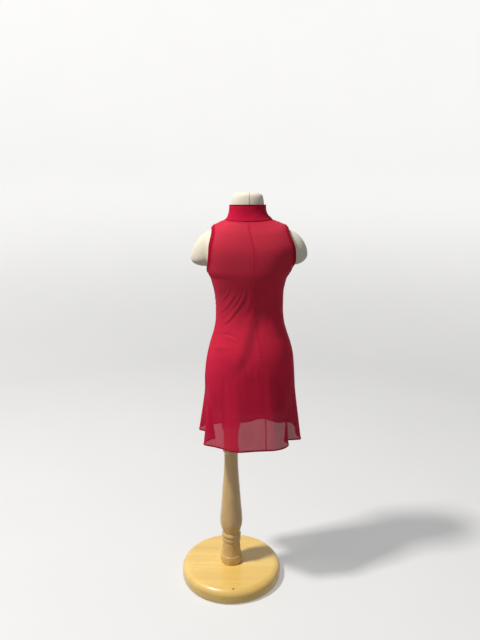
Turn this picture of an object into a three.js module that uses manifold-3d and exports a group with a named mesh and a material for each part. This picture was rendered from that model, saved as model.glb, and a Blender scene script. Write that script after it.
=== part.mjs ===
// Sleeveless A-line mesh dress with a mock-neck collar, worn by a limbless child-size dress form on a
// turned wooden stand. Millimetres, +Z up. The origin is the centre of the base's underside.
// The wearer's back faces -Y, the chest faces +Y, and the wearer's left side is at -X.
import * as THREE from 'three';
import { mergeVertices } from 'three/addons/utils/BufferGeometryUtils.js';
import Module from 'manifold-3d';

const wasm = await Module();
wasm.setup();

// ---- Driving sizes ----
const WALL = 1.2; // mesh cloth
const COLLAR_WALL = 2.0; // mesh folded double
const SEAM_GAP = 0.3; // between pieces that are sewn together
const CLEARANCE = 3.0; // from the cloth's inner face to the form
const BAND_WIDTH = 11.5; // double strip round each armhole
const BAND_LIFT = 0.9; // the strip's inner face is this far outside the cloth
const CENTRE_Y = 5; // the figure's middle plane, seen from the side
const HEM_Z = 455;
const HIP_Z = 650; // the skirt hangs free below this height

// The cloth's rings from the neck seam down to the hip. Half widths are to the middle of the cloth, depths
// are from the middle plane, and side, back and front are the ring's heights there. turn is how far the
// dress has twisted round the figure, in degrees.
const DRESS_ROWS = [
  { name: 'neck seam', x: 50, halfWidth: 62, back: 50, front: 58, side: 1085, backZ: 1082, frontZ: 1062, turn: 0 },
  { name: 'upper shoulder', x: 52, halfWidth: 84, back: 60, front: 64, side: 1076, backZ: 1066, frontZ: 1042, turn: 0 },
  { name: 'shoulder point', x: 53, halfWidth: 104, back: 72, front: 70, side: 1063, backZ: 1042, frontZ: 1018, turn: 0 },
  { name: 'shoulder blades', x: 53, halfWidth: 124, back: 82, front: 79, side: 1020, backZ: 1003, frontZ: 990, turn: 0 },
  { name: 'underarm', x: 51, halfWidth: 116.5, back: 83, front: 86, side: 951, backZ: 954, frontZ: 952, turn: 0 },
  { name: 'lower chest', x: 50.5, halfWidth: 105, back: 80, front: 86, side: 925, backZ: 925, frontZ: 925, turn: 1 },
  { name: 'ribs', x: 51, halfWidth: 97, back: 74, front: 83, side: 892, backZ: 892, frontZ: 892, turn: 2 },
  { name: 'upper waist', x: 52.5, halfWidth: 94.4, back: 68.5, front: 80, side: 860, backZ: 860, frontZ: 860, turn: 3 },
  { name: 'waist', x: 53, halfWidth: 94, back: 66, front: 79.5, side: 832, backZ: 832, frontZ: 832, turn: 4 },
  { name: 'lower waist', x: 54, halfWidth: 96.5, back: 68.5, front: 81.5, side: 802, backZ: 802, frontZ: 802, turn: 5 },
  { name: 'tummy', x: 55, halfWidth: 103.5, back: 76, front: 85.5, side: 773, backZ: 773, frontZ: 773, turn: 6 },
  { name: 'high hip', x: 55.5, halfWidth: 113.5, back: 85.5, front: 89, side: 742, backZ: 742, frontZ: 742, turn: 7.5 },
  { name: 'hip', x: 55.5, halfWidth: 121, back: 92, front: 91.5, side: 712, backZ: 712, frontZ: 712, turn: 9.5 },
  { name: 'full hip', x: 54.5, halfWidth: 125.5, back: 95, front: 93, side: 680, backZ: 680, frontZ: 680, turn: 12 },
  { name: 'skirt top', x: 54, halfWidth: 128, back: 96, front: 94, side: HIP_Z, backZ: HIP_Z, frontZ: HIP_Z, turn: 14 },
];
const HIP_ROW = DRESS_ROWS.length - 1;
const HEM_ROW = HIP_ROW + 1;
const SHOULDER_ROW = 2;
const UNDERARM_ROW = 4;
const SQUARENESS = 2.25; // 2 is an ellipse
const DRESS_SQUARENESS = [SQUARENESS, 2.45, 2.8, 3, 2.7, 2.4, SQUARENESS, SQUARENESS]; // for the first rows
const SIDE_HOLD = 1.7; // how long a ring keeps its side height before it turns to its back or front height

// Where an armhole's back edge stands off the figure: its place, its shift, and how far the shift reaches
// round the dress, up it and down it.
const FLARES = [
  { name: 'right armhole', share: 0.06, u: 3.55, x: 10, y: -5, around: 0.05, up: 0.75, down: 0.32 },
  { name: 'left armhole', share: 0.435, u: 3.1, x: 5, y: -6, around: 0.05, up: 0.9, down: 0.5 },
];

// The hem's outline seen from above, one row for each fold or turn. share runs round the dress from the
// right side seam by the back (0.25) and the left side seam (0.5) to the front (0.75).
const HEM_FOLDS = [
  { name: 'right side seam', share: 0, x: 194, y: 66 },
  { name: 'right flute outer side', share: 0.052, x: 192, y: 14 },
  { name: 'right flute tip', share: 0.086, x: 203, y: -21 },
  { name: 'right flute inner side', share: 0.112, x: 179, y: -28 },
  { name: 'right inner fold', share: 0.139, x: 154, y: -33 },
  { name: 'right near fold', share: 0.166, x: 165, y: -59 },
  { name: 'right near corner', share: 0.188, x: 156, y: -82 },
  { name: 'back right', share: 0.215, x: 134, y: -95 },
  { name: 'centre back', share: 0.25, x: 96, y: -102 },
  { name: 'back middle', share: 0.3, x: 48, y: -110 },
  { name: 'back lowest', share: 0.35, x: 4, y: -107 },
  { name: 'back left', share: 0.404, x: -42, y: -78 },
  { name: 'left near fold', share: 0.448, x: -77, y: -58 },
  { name: 'left inner side', share: 0.475, x: -60, y: -28 },
  { name: 'left inner fold', share: 0.503, x: -46, y: -14 },
  { name: 'left flute inner side', share: 0.553, x: -73, y: 30 },
  { name: 'left flute tip', share: 0.598, x: -97, y: 50 },
  { name: 'left front corner', share: 0.645, x: -80, y: 82 },
  { name: 'front left', share: 0.69, x: -42, y: 94 },
  { name: 'front middle', share: 0.745, x: 10, y: 99 },
  { name: 'front rise', share: 0.79, x: 52, y: 107 },
  { name: 'front wave', share: 0.845, x: 100, y: 131 },
  { name: 'front dip', share: 0.885, x: 140, y: 103 },
  { name: 'front right', share: 0.935, x: 178, y: 107 },
];

// Where the centre back seam runs, as a shift of its share from 0.25 at each dress row, and the shift that
// it takes back from there down to the hem.
const CENTRE_SEAM_SHIFT = [0.008, 0.0021, -0.0007, -0.0035, -0.0079, -0.011, -0.013];
const SEAM_RETURN = 0.01;
const CENTRE_BACK = 0.25;

// How far each armhole is cut in from the side, as a share of the way round.
const ARMHOLE_BACK = 0.076;
const ARMHOLE_FRONT = 0.09;
const ARMHOLE_POWER = 2.35; // how square the armhole's top and bottom are

// The collar's rings, from its seam up to its folded top edge.
const COLLAR_ROWS = [
  { name: 'seam', x: 50, halfWidth: 61.5, back: 49.3, front: 57, side: 1084.1, backZ: 1081.3, frontZ: 1061.5 },
  { name: 'flare', x: 48.5, halfWidth: 55.5, back: 45.5, front: 54, side: 1093, backZ: 1091.5, frontZ: 1072 },
  { name: 'stand', x: 47.5, halfWidth: 51, back: 43, front: 51.5, side: 1103, backZ: 1103, frontZ: 1084 },
  { name: 'upper stand', x: 47, halfWidth: 49.2, back: 42, front: 50, side: 1113, backZ: 1114, frontZ: 1096 },
  { name: 'top', x: 47, halfWidth: 48.8, back: 41.6, front: 49.4, side: 1122.5, backZ: 1123.5, frontZ: 1106 },
];

// The form's own rings above the cloth and below the waist. Heights are one value on each ring's outline,
// except on the neck, which leans forward.
const FORM_NECK = [
  { name: 'neck top', x: 47, halfWidth: 26, back: 21, front: 30, side: 1156, backZ: 1156, frontZ: 1154 },
  { name: 'neck shoulder', x: 47, halfWidth: 36, back: 30, front: 39, side: 1152.5, backZ: 1153, frontZ: 1149 },
  { name: 'neck edge', x: 47, halfWidth: 41.5, back: 35, front: 43, side: 1144, backZ: 1145, frontZ: 1139 },
  { name: 'neck', x: 47, halfWidth: 44, back: 37.2, front: 45, side: 1128, backZ: 1129, frontZ: 1120 },
  { name: 'in the collar', x: 47.5, halfWidth: 45.5, back: 38, front: 46.2, side: 1108, backZ: 1108, frontZ: 1094 },
  { name: 'neck root', x: 48, halfWidth: 48.5, back: 40.2, front: 48.6, side: 1096, backZ: 1096, frontZ: 1080 },
  { name: 'neck spread', x: 49, halfWidth: 53.5, back: 43.8, front: 52, side: 1087, backZ: 1086, frontZ: 1069 },
];
const FORM_HIPS = [
  { name: 'high hip', x: 55.5, halfWidth: 110, back: 82, front: 84.5, side: 742, backZ: 742, frontZ: 742 },
  { name: 'hip', x: 55, halfWidth: 117, back: 88.5, front: 85.5, side: 712, backZ: 712, frontZ: 712 },
  { name: 'full hip', x: 54.5, halfWidth: 120, back: 90, front: 84.5, side: 680, backZ: 680, frontZ: 680 },
  { name: 'seat', x: 54, halfWidth: 120, back: 88, front: 82.5, side: 645, backZ: 645, frontZ: 645 },
  { name: 'under the seat', x: 54, halfWidth: 116, back: 83, front: 79, side: 606, backZ: 606, frontZ: 606 },
  { name: 'thigh', x: 54, halfWidth: 111, back: 77, front: 75, side: 572, backZ: 572, frontZ: 572 },
  { name: 'lower edge', x: 54, halfWidth: 106.5, back: 71, front: 70, side: 549, backZ: 549, frontZ: 549 },
  { name: 'rounding', x: 54, halfWidth: 101, back: 66, front: 65, side: 540.5, backZ: 540.5, frontZ: 540.5 },
  { name: 'underside', x: 54, halfWidth: 92, back: 57, front: 56, side: 538, backZ: 538, frontZ: 538 },
];
const FORM_LAST_CLOTH_ROW = 10; // the form follows the cloth's rings down to here

// The rounded caps that close the form's armholes. The figure leans a little to the left, so they differ.
const CAPS = [
  { name: 'left', side: -1, z: 994, reach: 56, up: 62, down: 34, drop: 14, under: 2.2 },
  { name: 'right', side: 1, z: 998, reach: 52.5, up: 59, down: 37, drop: 8, under: 2.2 },
];
const CAP_OUT = 106; // from the figure's middle to each cap's widest section
const CAP_Y = 2;
const CAP_DEPTH = 35;
const CAP_ROUNDNESS = 1.85;
const CAP_ROOT = 20; // how far a cap goes into the torso
const CAP_ROOT_DEPTH = 0.9; // the root's size, as a part of the cap's
const CAP_END = 0.985; // the cap's last ring, short of its tip

// Turned wood.
const BASE_RADIUS = 150;
const BASE_HEIGHT = 44;
const BASE_TOP_ROUND = 19;
const BASE_FOOT_ROUND = 9;
const POLE_TOP = 474;
const KNOB_TOP = 537.7;
// The pole's outline: radius at each height, from the foot up.
const POLE_OUTLINE = [
  { name: 'foot', z: BASE_HEIGHT + SEAM_GAP, radius: 31 },
  { name: 'foot ring', z: 50, radius: 32.6 },
  { name: 'foot ring middle', z: 60, radius: 32.8 },
  { name: 'foot ring top', z: 69, radius: 31.8 },
  { name: 'step', z: 72, radius: 29.8 },
  { name: 'cove', z: 88, radius: 27.6 },
  { name: 'cove top', z: 108, radius: 26.6 },
  { name: 'lower groove', z: 111, radius: 26.1 },
  { name: 'lower bead', z: 117, radius: 27.8 },
  { name: 'lower bead crown', z: 124, radius: 28.4 },
  { name: 'groove', z: 129.5, radius: 26.6 },
  { name: 'upper bead', z: 133, radius: 28.6 },
  { name: 'upper bead crown', z: 137, radius: 29.2 },
  { name: 'upper bead top', z: 141, radius: 28.2 },
  { name: 'neck', z: 146, radius: 25.8 },
  { name: 'vase foot', z: 152, radius: 27.4 },
  { name: 'vase lower', z: 163, radius: 31 },
  { name: 'vase belly', z: 180, radius: 33.6 },
  { name: 'vase upper', z: 200, radius: 33 },
  { name: 'taper low', z: 232, radius: 30.2 },
  { name: 'taper', z: 275, radius: 27 },
  { name: 'taper high', z: 320, radius: 23.6 },
  { name: 'slim', z: 358, radius: 21 },
  { name: 'slimmest', z: 390, radius: 20.2 },
  { name: 'collar groove', z: 405, radius: 20.8 },
  { name: 'collar ring', z: 410, radius: 24.4 },
  { name: 'collar ring top', z: 416, radius: 24.4 },
  { name: 'above the ring', z: 421, radius: 21.8 },
  { name: 'shank', z: 450, radius: 22 },
  { name: 'top', z: POLE_TOP, radius: 22.4 },
];
const KNOB_OUTLINE = [
  { name: 'bottom', z: POLE_TOP + SEAM_GAP, radius: 23 },
  { name: 'lower swell', z: 481, radius: 26 },
  { name: 'belly', z: 494, radius: 27.6 },
  { name: 'upper swell', z: 508, radius: 26.4 },
  { name: 'waist', z: 520, radius: 23.4 },
  { name: 'flare', z: 531, radius: 24.6 },
  { name: 'top', z: KNOB_TOP, radius: 26.2 },
];

// How finely the pieces are divided.
const SHOULDER_STEPS = 4;
const ARMHOLE_STEPS = 12;
const BODY_STEPS = 13;
const SKIRT_STEPS = 5;
const FOLD_STEPS = 2;
const COLLAR_SEGMENTS = 44;
const COLLAR_STEPS = 4;
const FORM_SEGMENTS = 38;
const CAP_SEGMENTS = 22;
const CAP_RINGS = 9;
const BAND_SEGMENTS = 34;
const LATHE_SEGMENTS = 26;
const BASE_SEGMENTS = 44;

// ---- Small helpers ----
const lerp = (a, b, k) => a + (b - a) * k;

// A smooth curve through evenly spaced values, read at position u.
function smoothValue(values, u) {
  const last = values.length - 1;
  const i = Math.min(Math.max(Math.floor(u), 0), last - 1);
  const k = u - i;
  const at = (n) => values[Math.min(Math.max(n, 0), last)];
  const slope = (n) => (at(n + 1) - at(n - 1)) / (n === 0 || n === last ? 1 : 2);
  const h = k * k * (3 - 2 * k);
  const inSlope = k * (1 - k) * (1 - k);
  const outSlope = k * k * (k - 1);
  return at(i) * (1 - h) + at(i + 1) * h + slope(i) * inSlope + slope(i + 1) * outSlope;
}

const COLUMNS = ['x', 'halfWidth', 'back', 'front', 'side', 'backZ', 'frontZ', 'turn'];

// One ring of a table at row position u, with every column smoothed between its rows.
function ringAt(rows, u) {
  const ring = {};
  for (const key of COLUMNS) ring[key] = smoothValue(rows.map((row) => row[key] ?? 0), u);
  return ring;
}

// A ring of the dress, which is squarer round the shoulders.
function dressRing(u) {
  const square = smoothValue(DRESS_SQUARENESS, Math.min(u, DRESS_SQUARENESS.length - 1));
  return { ...ringAt(DRESS_ROWS, u), square };
}

// A point on a ring. share runs round from +X by the back (-Y).
function ringPoint(ring, share) {
  const angle = 2 * Math.PI * share - THREE.MathUtils.degToRad(ring.turn ?? 0);
  const c = Math.cos(angle);
  const s = Math.sin(angle);
  const power = 2 / (ring.square ?? SQUARENESS);
  const across = Math.sign(c) * Math.abs(c) ** power;
  const deep = Math.sign(s) * Math.abs(s) ** power;
  const depth = s > 0 ? ring.back : ring.front;
  const endZ = s > 0 ? ring.backZ : ring.frontZ;
  return new THREE.Vector3(
    ring.x + ring.halfWidth * across,
    CENTRE_Y - depth * deep,
    lerp(ring.side, endZ, Math.abs(s) ** SIDE_HOLD),
  );
}

// ---- The dress's surface ----
const hemCurve = makeHemCurve();

// How far the flares move a point of the dress.
function flareShift(share, u) {
  const shift = new THREE.Vector3();
  for (const flare of FLARES) {
    const aside = share - flare.share;
    const round = (aside - Math.round(aside)) / flare.around;
    const along = (u - flare.u) / (u < flare.u ? flare.up : flare.down);
    shift.addScaledVector(new THREE.Vector3(flare.x, flare.y, 0), Math.exp(-(round ** 2) - along ** 2));
  }
  return shift;
}

// The hem as a smooth closed curve through its folds, read by share.
function makeHemCurve() {
  const n = HEM_FOLDS.length;
  const row = (i) => HEM_FOLDS[((i % n) + n) % n];
  const shareOf = (i) => row(i).share + Math.floor(i / n);
  const slope = (i, key) => (row(i + 1)[key] - row(i - 1)[key]) / (shareOf(i + 1) - shareOf(i - 1));
  return (share) => {
    const wrapped = share - Math.floor(share);
    let i = 0;
    while (i + 1 < n && HEM_FOLDS[i + 1].share <= wrapped) i += 1;
    const span = shareOf(i + 1) - shareOf(i);
    const k = (wrapped - shareOf(i)) / span;
    const h = k * k * (3 - 2 * k);
    const blend = (key) => row(i)[key] * (1 - h) + row(i + 1)[key] * h
      + span * (slope(i, key) * k * (1 - k) * (1 - k) + slope(i + 1, key) * k * k * (k - 1));
    return { x: blend('x'), y: blend('y') };
  };
}

// A point in the middle of the cloth: share round the dress, u down it by rows.
function dressPoint(share, u) {
  if (u <= HIP_ROW) {
    const row = Math.max(u, 0);
    return ringPoint(dressRing(row), share).add(flareShift(share, row));
  }
  const fall = u - HIP_ROW;
  const top = ringPoint(DRESS_ROWS[HIP_ROW], share);
  const hem = hemCurve(share);
  return new THREE.Vector3(lerp(top.x, hem.x, fall), lerp(top.y, hem.y, fall), lerp(HIP_Z, HEM_Z, fall));
}

// The outward direction of a surface given by a function of share and u.
function outward(surface, share, u, lastRow) {
  const e = 1e-3;
  const low = Math.max(u - e * 10, 0);
  const high = Math.min(u + e * 10, lastRow);
  const round = surface(share + e, u).sub(surface(share - e, u));
  const down = surface(share, high).sub(surface(share, low));
  return round.cross(down).normalize();
}

// A closed wall round a grid of middle points and directions. closed joins the last column to the first.
function wallGeometry(points, directions, wall, closed = false) {
  const rows = points.length;
  const columns = points[0].length;
  const positions = [];
  const faces = [];
  for (const side of [0.5, -0.5]) {
    points.forEach((row, j) => row.forEach((p, i) => {
      const q = p.clone().addScaledVector(directions[j][i], side * wall);
      positions.push(q.x, q.y, q.z);
    }));
  }
  const outer = (j, i) => j * columns + (i % columns);
  const inner = (j, i) => rows * columns + outer(j, i);
  const quad = (a, b, c, d) => faces.push(a, b, c, a, c, d);
  const spans = closed ? columns : columns - 1;
  for (let j = 0; j < rows - 1; j += 1) {
    for (let i = 0; i < spans; i += 1) {
      quad(outer(j, i), outer(j, i + 1), outer(j + 1, i + 1), outer(j + 1, i));
      quad(inner(j, i), inner(j + 1, i), inner(j + 1, i + 1), inner(j, i + 1));
    }
  }
  for (let i = 0; i < spans; i += 1) {
    quad(outer(0, i + 1), outer(0, i), inner(0, i), inner(0, i + 1));
    quad(outer(rows - 1, i), outer(rows - 1, i + 1), inner(rows - 1, i + 1), inner(rows - 1, i));
  }
  if (!closed) {
    for (let j = 0; j < rows - 1; j += 1) {
      quad(outer(j, 0), outer(j + 1, 0), inner(j + 1, 0), inner(j, 0));
      quad(outer(j + 1, spans), outer(j, spans), inner(j, spans), inner(j + 1, spans));
    }
  }
  const geometry = new THREE.BufferGeometry();
  geometry.setAttribute('position', new THREE.Float32BufferAttribute(positions, 3));
  geometry.setIndex(orientOutward(positions, faces));
  return geometry;
}

// Turns every face over where the body they close would have a negative volume.
function orientOutward(positions, faces) {
  let volume = 0;
  const at = (n) => new THREE.Vector3().fromArray(positions, 3 * n);
  for (let i = 0; i < faces.length; i += 3) {
    volume += at(faces[i]).dot(at(faces[i + 1]).cross(at(faces[i + 2])));
  }
  if (volume >= 0) return faces;
  const turned = [];
  for (let i = 0; i < faces.length; i += 3) turned.push(faces[i], faces[i + 2], faces[i + 1]);
  return turned;
}

// ---- Armholes ----
// How far an armhole's edge is from the side at row u, as a part of its full cut.
function armholeCut(u) {
  const middle = (SHOULDER_ROW + UNDERARM_ROW) / 2;
  const half = (UNDERARM_ROW - SHOULDER_ROW) / 2;
  const w = Math.min(Math.abs((u - middle) / half), 1);
  return (1 - w ** ARMHOLE_POWER) ** (1 / ARMHOLE_POWER);
}

// The way round, as a share, that a distance in millimetres takes at one place of the dress.
function shareFor(distance, share, u) {
  const e = 1e-3;
  return (distance * 2 * e) / dressPoint(share + e, u).distanceTo(dressPoint(share - e, u));
}

const centreSeam = (u) => {
  const last = CENTRE_SEAM_SHIFT.length - 1;
  const shift = smoothValue(CENTRE_SEAM_SHIFT, Math.min(u, last));
  return CENTRE_BACK + shift + SEAM_RETURN * THREE.MathUtils.smoothstep(u, last, HEM_ROW);
};

// ---- Dress panels ----
// Row positions from the neck seam to the hem, closest together at both ends of the armhole.
function panelRows() {
  const rows = [];
  const neckStart = 0.05;
  for (let i = 0; i < SHOULDER_STEPS; i += 1) rows.push(lerp(neckStart, SHOULDER_ROW, i / SHOULDER_STEPS));
  for (let i = 0; i < ARMHOLE_STEPS; i += 1) {
    const k = (1 - Math.cos((Math.PI * i) / ARMHOLE_STEPS)) / 2;
    rows.push(lerp(SHOULDER_ROW, UNDERARM_ROW, k));
  }
  for (let i = 0; i < BODY_STEPS; i += 1) rows.push(lerp(UNDERARM_ROW, HIP_ROW, i / BODY_STEPS));
  for (let i = 0; i <= SKIRT_STEPS; i += 1) rows.push(HIP_ROW + i / SKIRT_STEPS);
  return rows;
}

// The shares of a panel's columns at the hem, closer together where the hem turns.
function foldShares(from, to) {
  const turns = HEM_FOLDS.map((fold) => fold.share).concat(1).filter((s) => s > from + 0.01 && s < to - 0.01);
  const knots = [from, ...turns, to];
  const shares = [];
  for (let i = 0; i < knots.length - 1; i += 1) {
    for (let k = 0; k < FOLD_STEPS; k += 1) shares.push(lerp(knots[i], knots[i + 1], k / FOLD_STEPS));
  }
  return [...shares, to].map((s) => (s - from) / (to - from));
}

// A panel between two edges, each a function of u that gives its share, less half the seam gap.
function panelGeometry(startEdge, endEdge) {
  const columns = foldShares(startEdge(HEM_ROW), endEdge(HEM_ROW));
  const points = [];
  const directions = [];
  for (const u of panelRows()) {
    const start = startEdge(u);
    const end = endEdge(u);
    const from = start + shareFor(SEAM_GAP / 2, start + 0.002, u);
    const to = end - shareFor(SEAM_GAP / 2, end - 0.002, u);
    const shares = columns.map((k) => lerp(from, to, k));
    points.push(shares.map((share) => dressPoint(share, u)));
    directions.push(shares.map((share) => outward(dressPoint, share, u, HEM_ROW)));
  }
  return wallGeometry(points, directions, WALL);
}

// ---- Armhole bands ----
// A closed strip on the outside of the cloth, round the armhole at the side with the given share.
function bandGeometry(sideShare) {
  const isLeft = sideShare > 0.25;
  const middle = (SHOULDER_ROW + UNDERARM_ROW) / 2;
  const half = (UNDERARM_ROW - SHOULDER_ROW) / 2;
  const lift = WALL + BAND_LIFT;
  // A point in share and u, at an angle round the armhole, moved out from its edge by a factor.
  const place = (angle, factor) => {
    const c = Math.cos(angle);
    const s = Math.sin(angle);
    const power = 2 / ARMHOLE_POWER;
    const towardsBack = c > 0;
    const cut = (towardsBack ? ARMHOLE_BACK : ARMHOLE_FRONT) * Math.abs(c) ** power * factor;
    const round = towardsBack === isLeft ? -cut : cut;
    return { share: sideShare + round, u: middle - half * Math.sign(s) * Math.abs(s) ** power * factor };
  };
  const surfaceAt = (q) => dressPoint(q.share, q.u);
  const points = [[], [], []];
  const directions = [[], [], []];
  for (let i = 0; i < BAND_SEGMENTS; i += 1) {
    const angle = (2 * Math.PI * i) / BAND_SEGMENTS;
    const edge = surfaceAt(place(angle, 1));
    const probe = 1.08;
    const perFactor = surfaceAt(place(angle, probe)).distanceTo(edge) / (probe - 1);
    [SEAM_GAP, BAND_WIDTH / 2, BAND_WIDTH].forEach((distance, j) => {
      const q = place(angle, 1 + distance / perFactor);
      const direction = outward(dressPoint, q.share, q.u, HEM_ROW);
      points[j].push(surfaceAt(q).addScaledVector(direction, lift));
      directions[j].push(direction);
    });
  }
  return wallGeometry(points, directions, WALL, true);
}

// ---- Collar ----
function collarGeometry() {
  const last = COLLAR_ROWS.length - 1;
  const surface = (share, u) => ringPoint(ringAt(COLLAR_ROWS, last - u), share);
  const points = [];
  const directions = [];
  for (let j = 0; j <= COLLAR_STEPS; j += 1) {
    const u = (last * j) / COLLAR_STEPS;
    const shares = Array.from({ length: COLLAR_SEGMENTS }, (_, i) => i / COLLAR_SEGMENTS);
    points.push(shares.map((share) => surface(share, u)));
    directions.push(shares.map((share) => outward(surface, share, u, last)));
  }
  return wallGeometry(points, directions, COLLAR_WALL, true);
}

// ---- Dress form ----
// A closed body through rings of points, capped flat at both ends.
function loftGeometry(rings) {
  const n = rings[0].length;
  const positions = rings.flat().flatMap((p) => [p.x, p.y, p.z]);
  const faces = [];
  for (let j = 0; j < rings.length - 1; j += 1) {
    for (let i = 0; i < n; i += 1) {
      const a = j * n + i;
      const b = j * n + ((i + 1) % n);
      faces.push(a, b, b + n, a, b + n, a + n);
    }
  }
  for (const [j, flip] of [[0, true], [rings.length - 1, false]]) {
    const middle = rings[j].reduce((sum, p) => sum.add(p), new THREE.Vector3()).divideScalar(n);
    positions.push(middle.x, middle.y, middle.z);
    const centre = positions.length / 3 - 1;
    for (let i = 0; i < n; i += 1) {
      const a = j * n + i;
      const b = j * n + ((i + 1) % n);
      faces.push(...(flip ? [b, a, centre] : [a, b, centre]));
    }
  }
  const geometry = new THREE.BufferGeometry();
  geometry.setAttribute('position', new THREE.Float32BufferAttribute(positions, 3));
  geometry.setIndex(orientOutward(positions, faces));
  return geometry;
}

function torsoGeometry() {
  const shares = Array.from({ length: FORM_SEGMENTS }, (_, i) => i / FORM_SEGMENTS);
  const inset = WALL / 2 + CLEARANCE;
  const untwisted = (share, u) => ringPoint({ ...dressRing(u), turn: 0 }, share).add(flareShift(share, u));
  const rings = FORM_NECK.map((row) => shares.map((share) => ringPoint(row, share)));
  for (let u = 0; u <= FORM_LAST_CLOTH_ROW; u += u < UNDERARM_ROW ? 0.5 : 1) {
    rings.push(shares.map((share) => untwisted(share, u)
      .addScaledVector(outward(untwisted, share, u, HIP_ROW), -inset)));
  }
  FORM_HIPS.forEach((row) => rings.push(shares.map((share) => ringPoint(row, share))));
  return loftGeometry(rings);
}

// One rounded cap: a dome that shrinks and drops outwards, with a section that is flatter underneath.
function capGeometry({ side, z: middleZ, reach: capReach, up, down, drop, under }) {
  const rings = [];
  const centreX = DRESS_ROWS[SHOULDER_ROW].x;
  for (let j = 0; j <= CAP_RINGS; j += 1) {
    const k = Math.min(j / CAP_RINGS, CAP_END);
    const reach = Math.sin((Math.PI / 2) * k);
    const size = (1 - reach ** CAP_ROUNDNESS) ** (1 / CAP_ROUNDNESS);
    const ring = [];
    for (let i = 0; i < CAP_SEGMENTS; i += 1) {
      const angle = (2 * Math.PI * i) / CAP_SEGMENTS;
      const c = Math.cos(angle);
      const s = Math.sin(angle);
      const power = 2 / (s > 0 ? 2 : under);
      const x = centreX + side * (CAP_OUT + capReach * reach);
      const y = CAP_Y + CAP_DEPTH * size * Math.sign(c) * Math.abs(c) ** power;
      const z = middleZ - drop * reach + (s > 0 ? up : down) * size * Math.sign(s) * Math.abs(s) ** power;
      ring.push(new THREE.Vector3(x, y, z));
    }
    rings.push(ring);
  }
  const root = (p) => new THREE.Vector3(
    p.x - side * CAP_ROOT,
    p.y * CAP_ROOT_DEPTH,
    lerp(middleZ, p.z, CAP_ROOT_DEPTH),
  );
  rings.unshift(rings[0].map(root));
  return loftGeometry(rings);
}

// ---- Joining with manifold-3d ----
function toManifold(geometry) {
  const bare = new THREE.BufferGeometry();
  bare.setAttribute('position', geometry.getAttribute('position'));
  bare.setIndex(geometry.getIndex());
  const merged = mergeVertices(bare);
  const positions = merged.getAttribute('position').array;
  return new wasm.Manifold(new wasm.Mesh({
    numProp: 3,
    vertProperties: new Float32Array(positions),
    triVerts: new Uint32Array(orientOutward(positions, Array.from(merged.getIndex().array))),
  }));
}

function fromManifold(solid) {
  const mesh = solid.getMesh();
  const geometry = new THREE.BufferGeometry();
  geometry.setAttribute('position', new THREE.BufferAttribute(new Float32Array(mesh.vertProperties), 3));
  geometry.setIndex(Array.from(mesh.triVerts));
  return geometry;
}

function formGeometry() {
  return fromManifold(CAPS.reduce(
    (body, cap) => body.add(toManifold(capGeometry(cap))),
    toManifold(torsoGeometry()),
  ));
}

// ---- Turned wood ----
function turnedGeometry(outline, segments) {
  const profile = [
    new THREE.Vector2(0, outline[0].z),
    ...outline.map((point) => new THREE.Vector2(point.radius, point.z)),
    new THREE.Vector2(0, outline[outline.length - 1].z),
  ];
  const turned = new THREE.LatheGeometry(profile, segments).rotateX(Math.PI / 2);
  return fromManifold(toManifold(turned));
}

// The base's outline: a flat underside, a small lower round and a large upper one.
function baseOutline() {
  const outline = [];
  const arc = (centreZ, round, from, to, steps) => {
    for (let i = 0; i <= steps; i += 1) {
      const angle = THREE.MathUtils.degToRad(lerp(from, to, i / steps));
      outline.push({
        radius: BASE_RADIUS - round + round * Math.cos(angle),
        z: centreZ + round * Math.sin(angle),
      });
    }
  };
  arc(BASE_FOOT_ROUND, BASE_FOOT_ROUND, -90, 0, 3);
  arc(BASE_HEIGHT - BASE_TOP_ROUND, BASE_TOP_ROUND, 0, 90, 6);
  return outline;
}

// ---- The object ----
const object = new THREE.Group();

function addPiece(name, geometry, color, roughness) {
  const material = new THREE.MeshStandardMaterial({ color, roughness, metalness: 0 });
  const mesh = new THREE.Mesh(geometry, material);
  mesh.name = name;
  object.add(mesh);
}

const MESH_RED = 0xa8202f;
const JERSEY_CREAM = 0xe6dfca;
const PALE_WOOD = 0xe3c184;

const backRightEdge = (u) => ARMHOLE_BACK * armholeCut(u);
const backLeftEdge = (u) => 0.5 - ARMHOLE_BACK * armholeCut(u);
const frontLeftEdge = (u) => 0.5 + ARMHOLE_FRONT * armholeCut(u);
const frontRightEdge = (u) => 1 - ARMHOLE_FRONT * armholeCut(u);

addPiece('front_panel', panelGeometry(frontLeftEdge, frontRightEdge), MESH_RED, 0.7);
addPiece('back_panel_left', panelGeometry(centreSeam, backLeftEdge), MESH_RED, 0.7);
addPiece('back_panel_right', panelGeometry(backRightEdge, centreSeam), MESH_RED, 0.7);
addPiece('collar', collarGeometry(), MESH_RED, 0.7);
addPiece('armhole_band_left', bandGeometry(0.5), MESH_RED, 0.7);
addPiece('armhole_band_right', bandGeometry(0), MESH_RED, 0.7);
addPiece('dress_form', formGeometry(), JERSEY_CREAM, 0.9);
addPiece('stand_knob', turnedGeometry(KNOB_OUTLINE, LATHE_SEGMENTS), PALE_WOOD, 0.45);
addPiece('stand_pole', turnedGeometry(POLE_OUTLINE, LATHE_SEGMENTS), PALE_WOOD, 0.45);
addPiece('stand_base', turnedGeometry(baseOutline(), BASE_SEGMENTS), PALE_WOOD, 0.4);

export default object;
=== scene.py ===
"""Looks of a sleeveless mesh dress on a child-size dress form with a turned wooden stand.

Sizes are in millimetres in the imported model's frame (+Z up, the garment's back towards -Y), and
meshes are made in metres. The way round the dress is a share from 0 to 1: right side seam 0,
centre back 0.25, left side seam 0.5, centre front 0.75. u counts the rows of DRESS_ROWS from the
neck seam down, and the hem is at HEM_ROW.
"""

import math

import bmesh
import bpy
import numpy as np
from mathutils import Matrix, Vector
from mathutils.bvhtree import BVHTree


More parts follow.
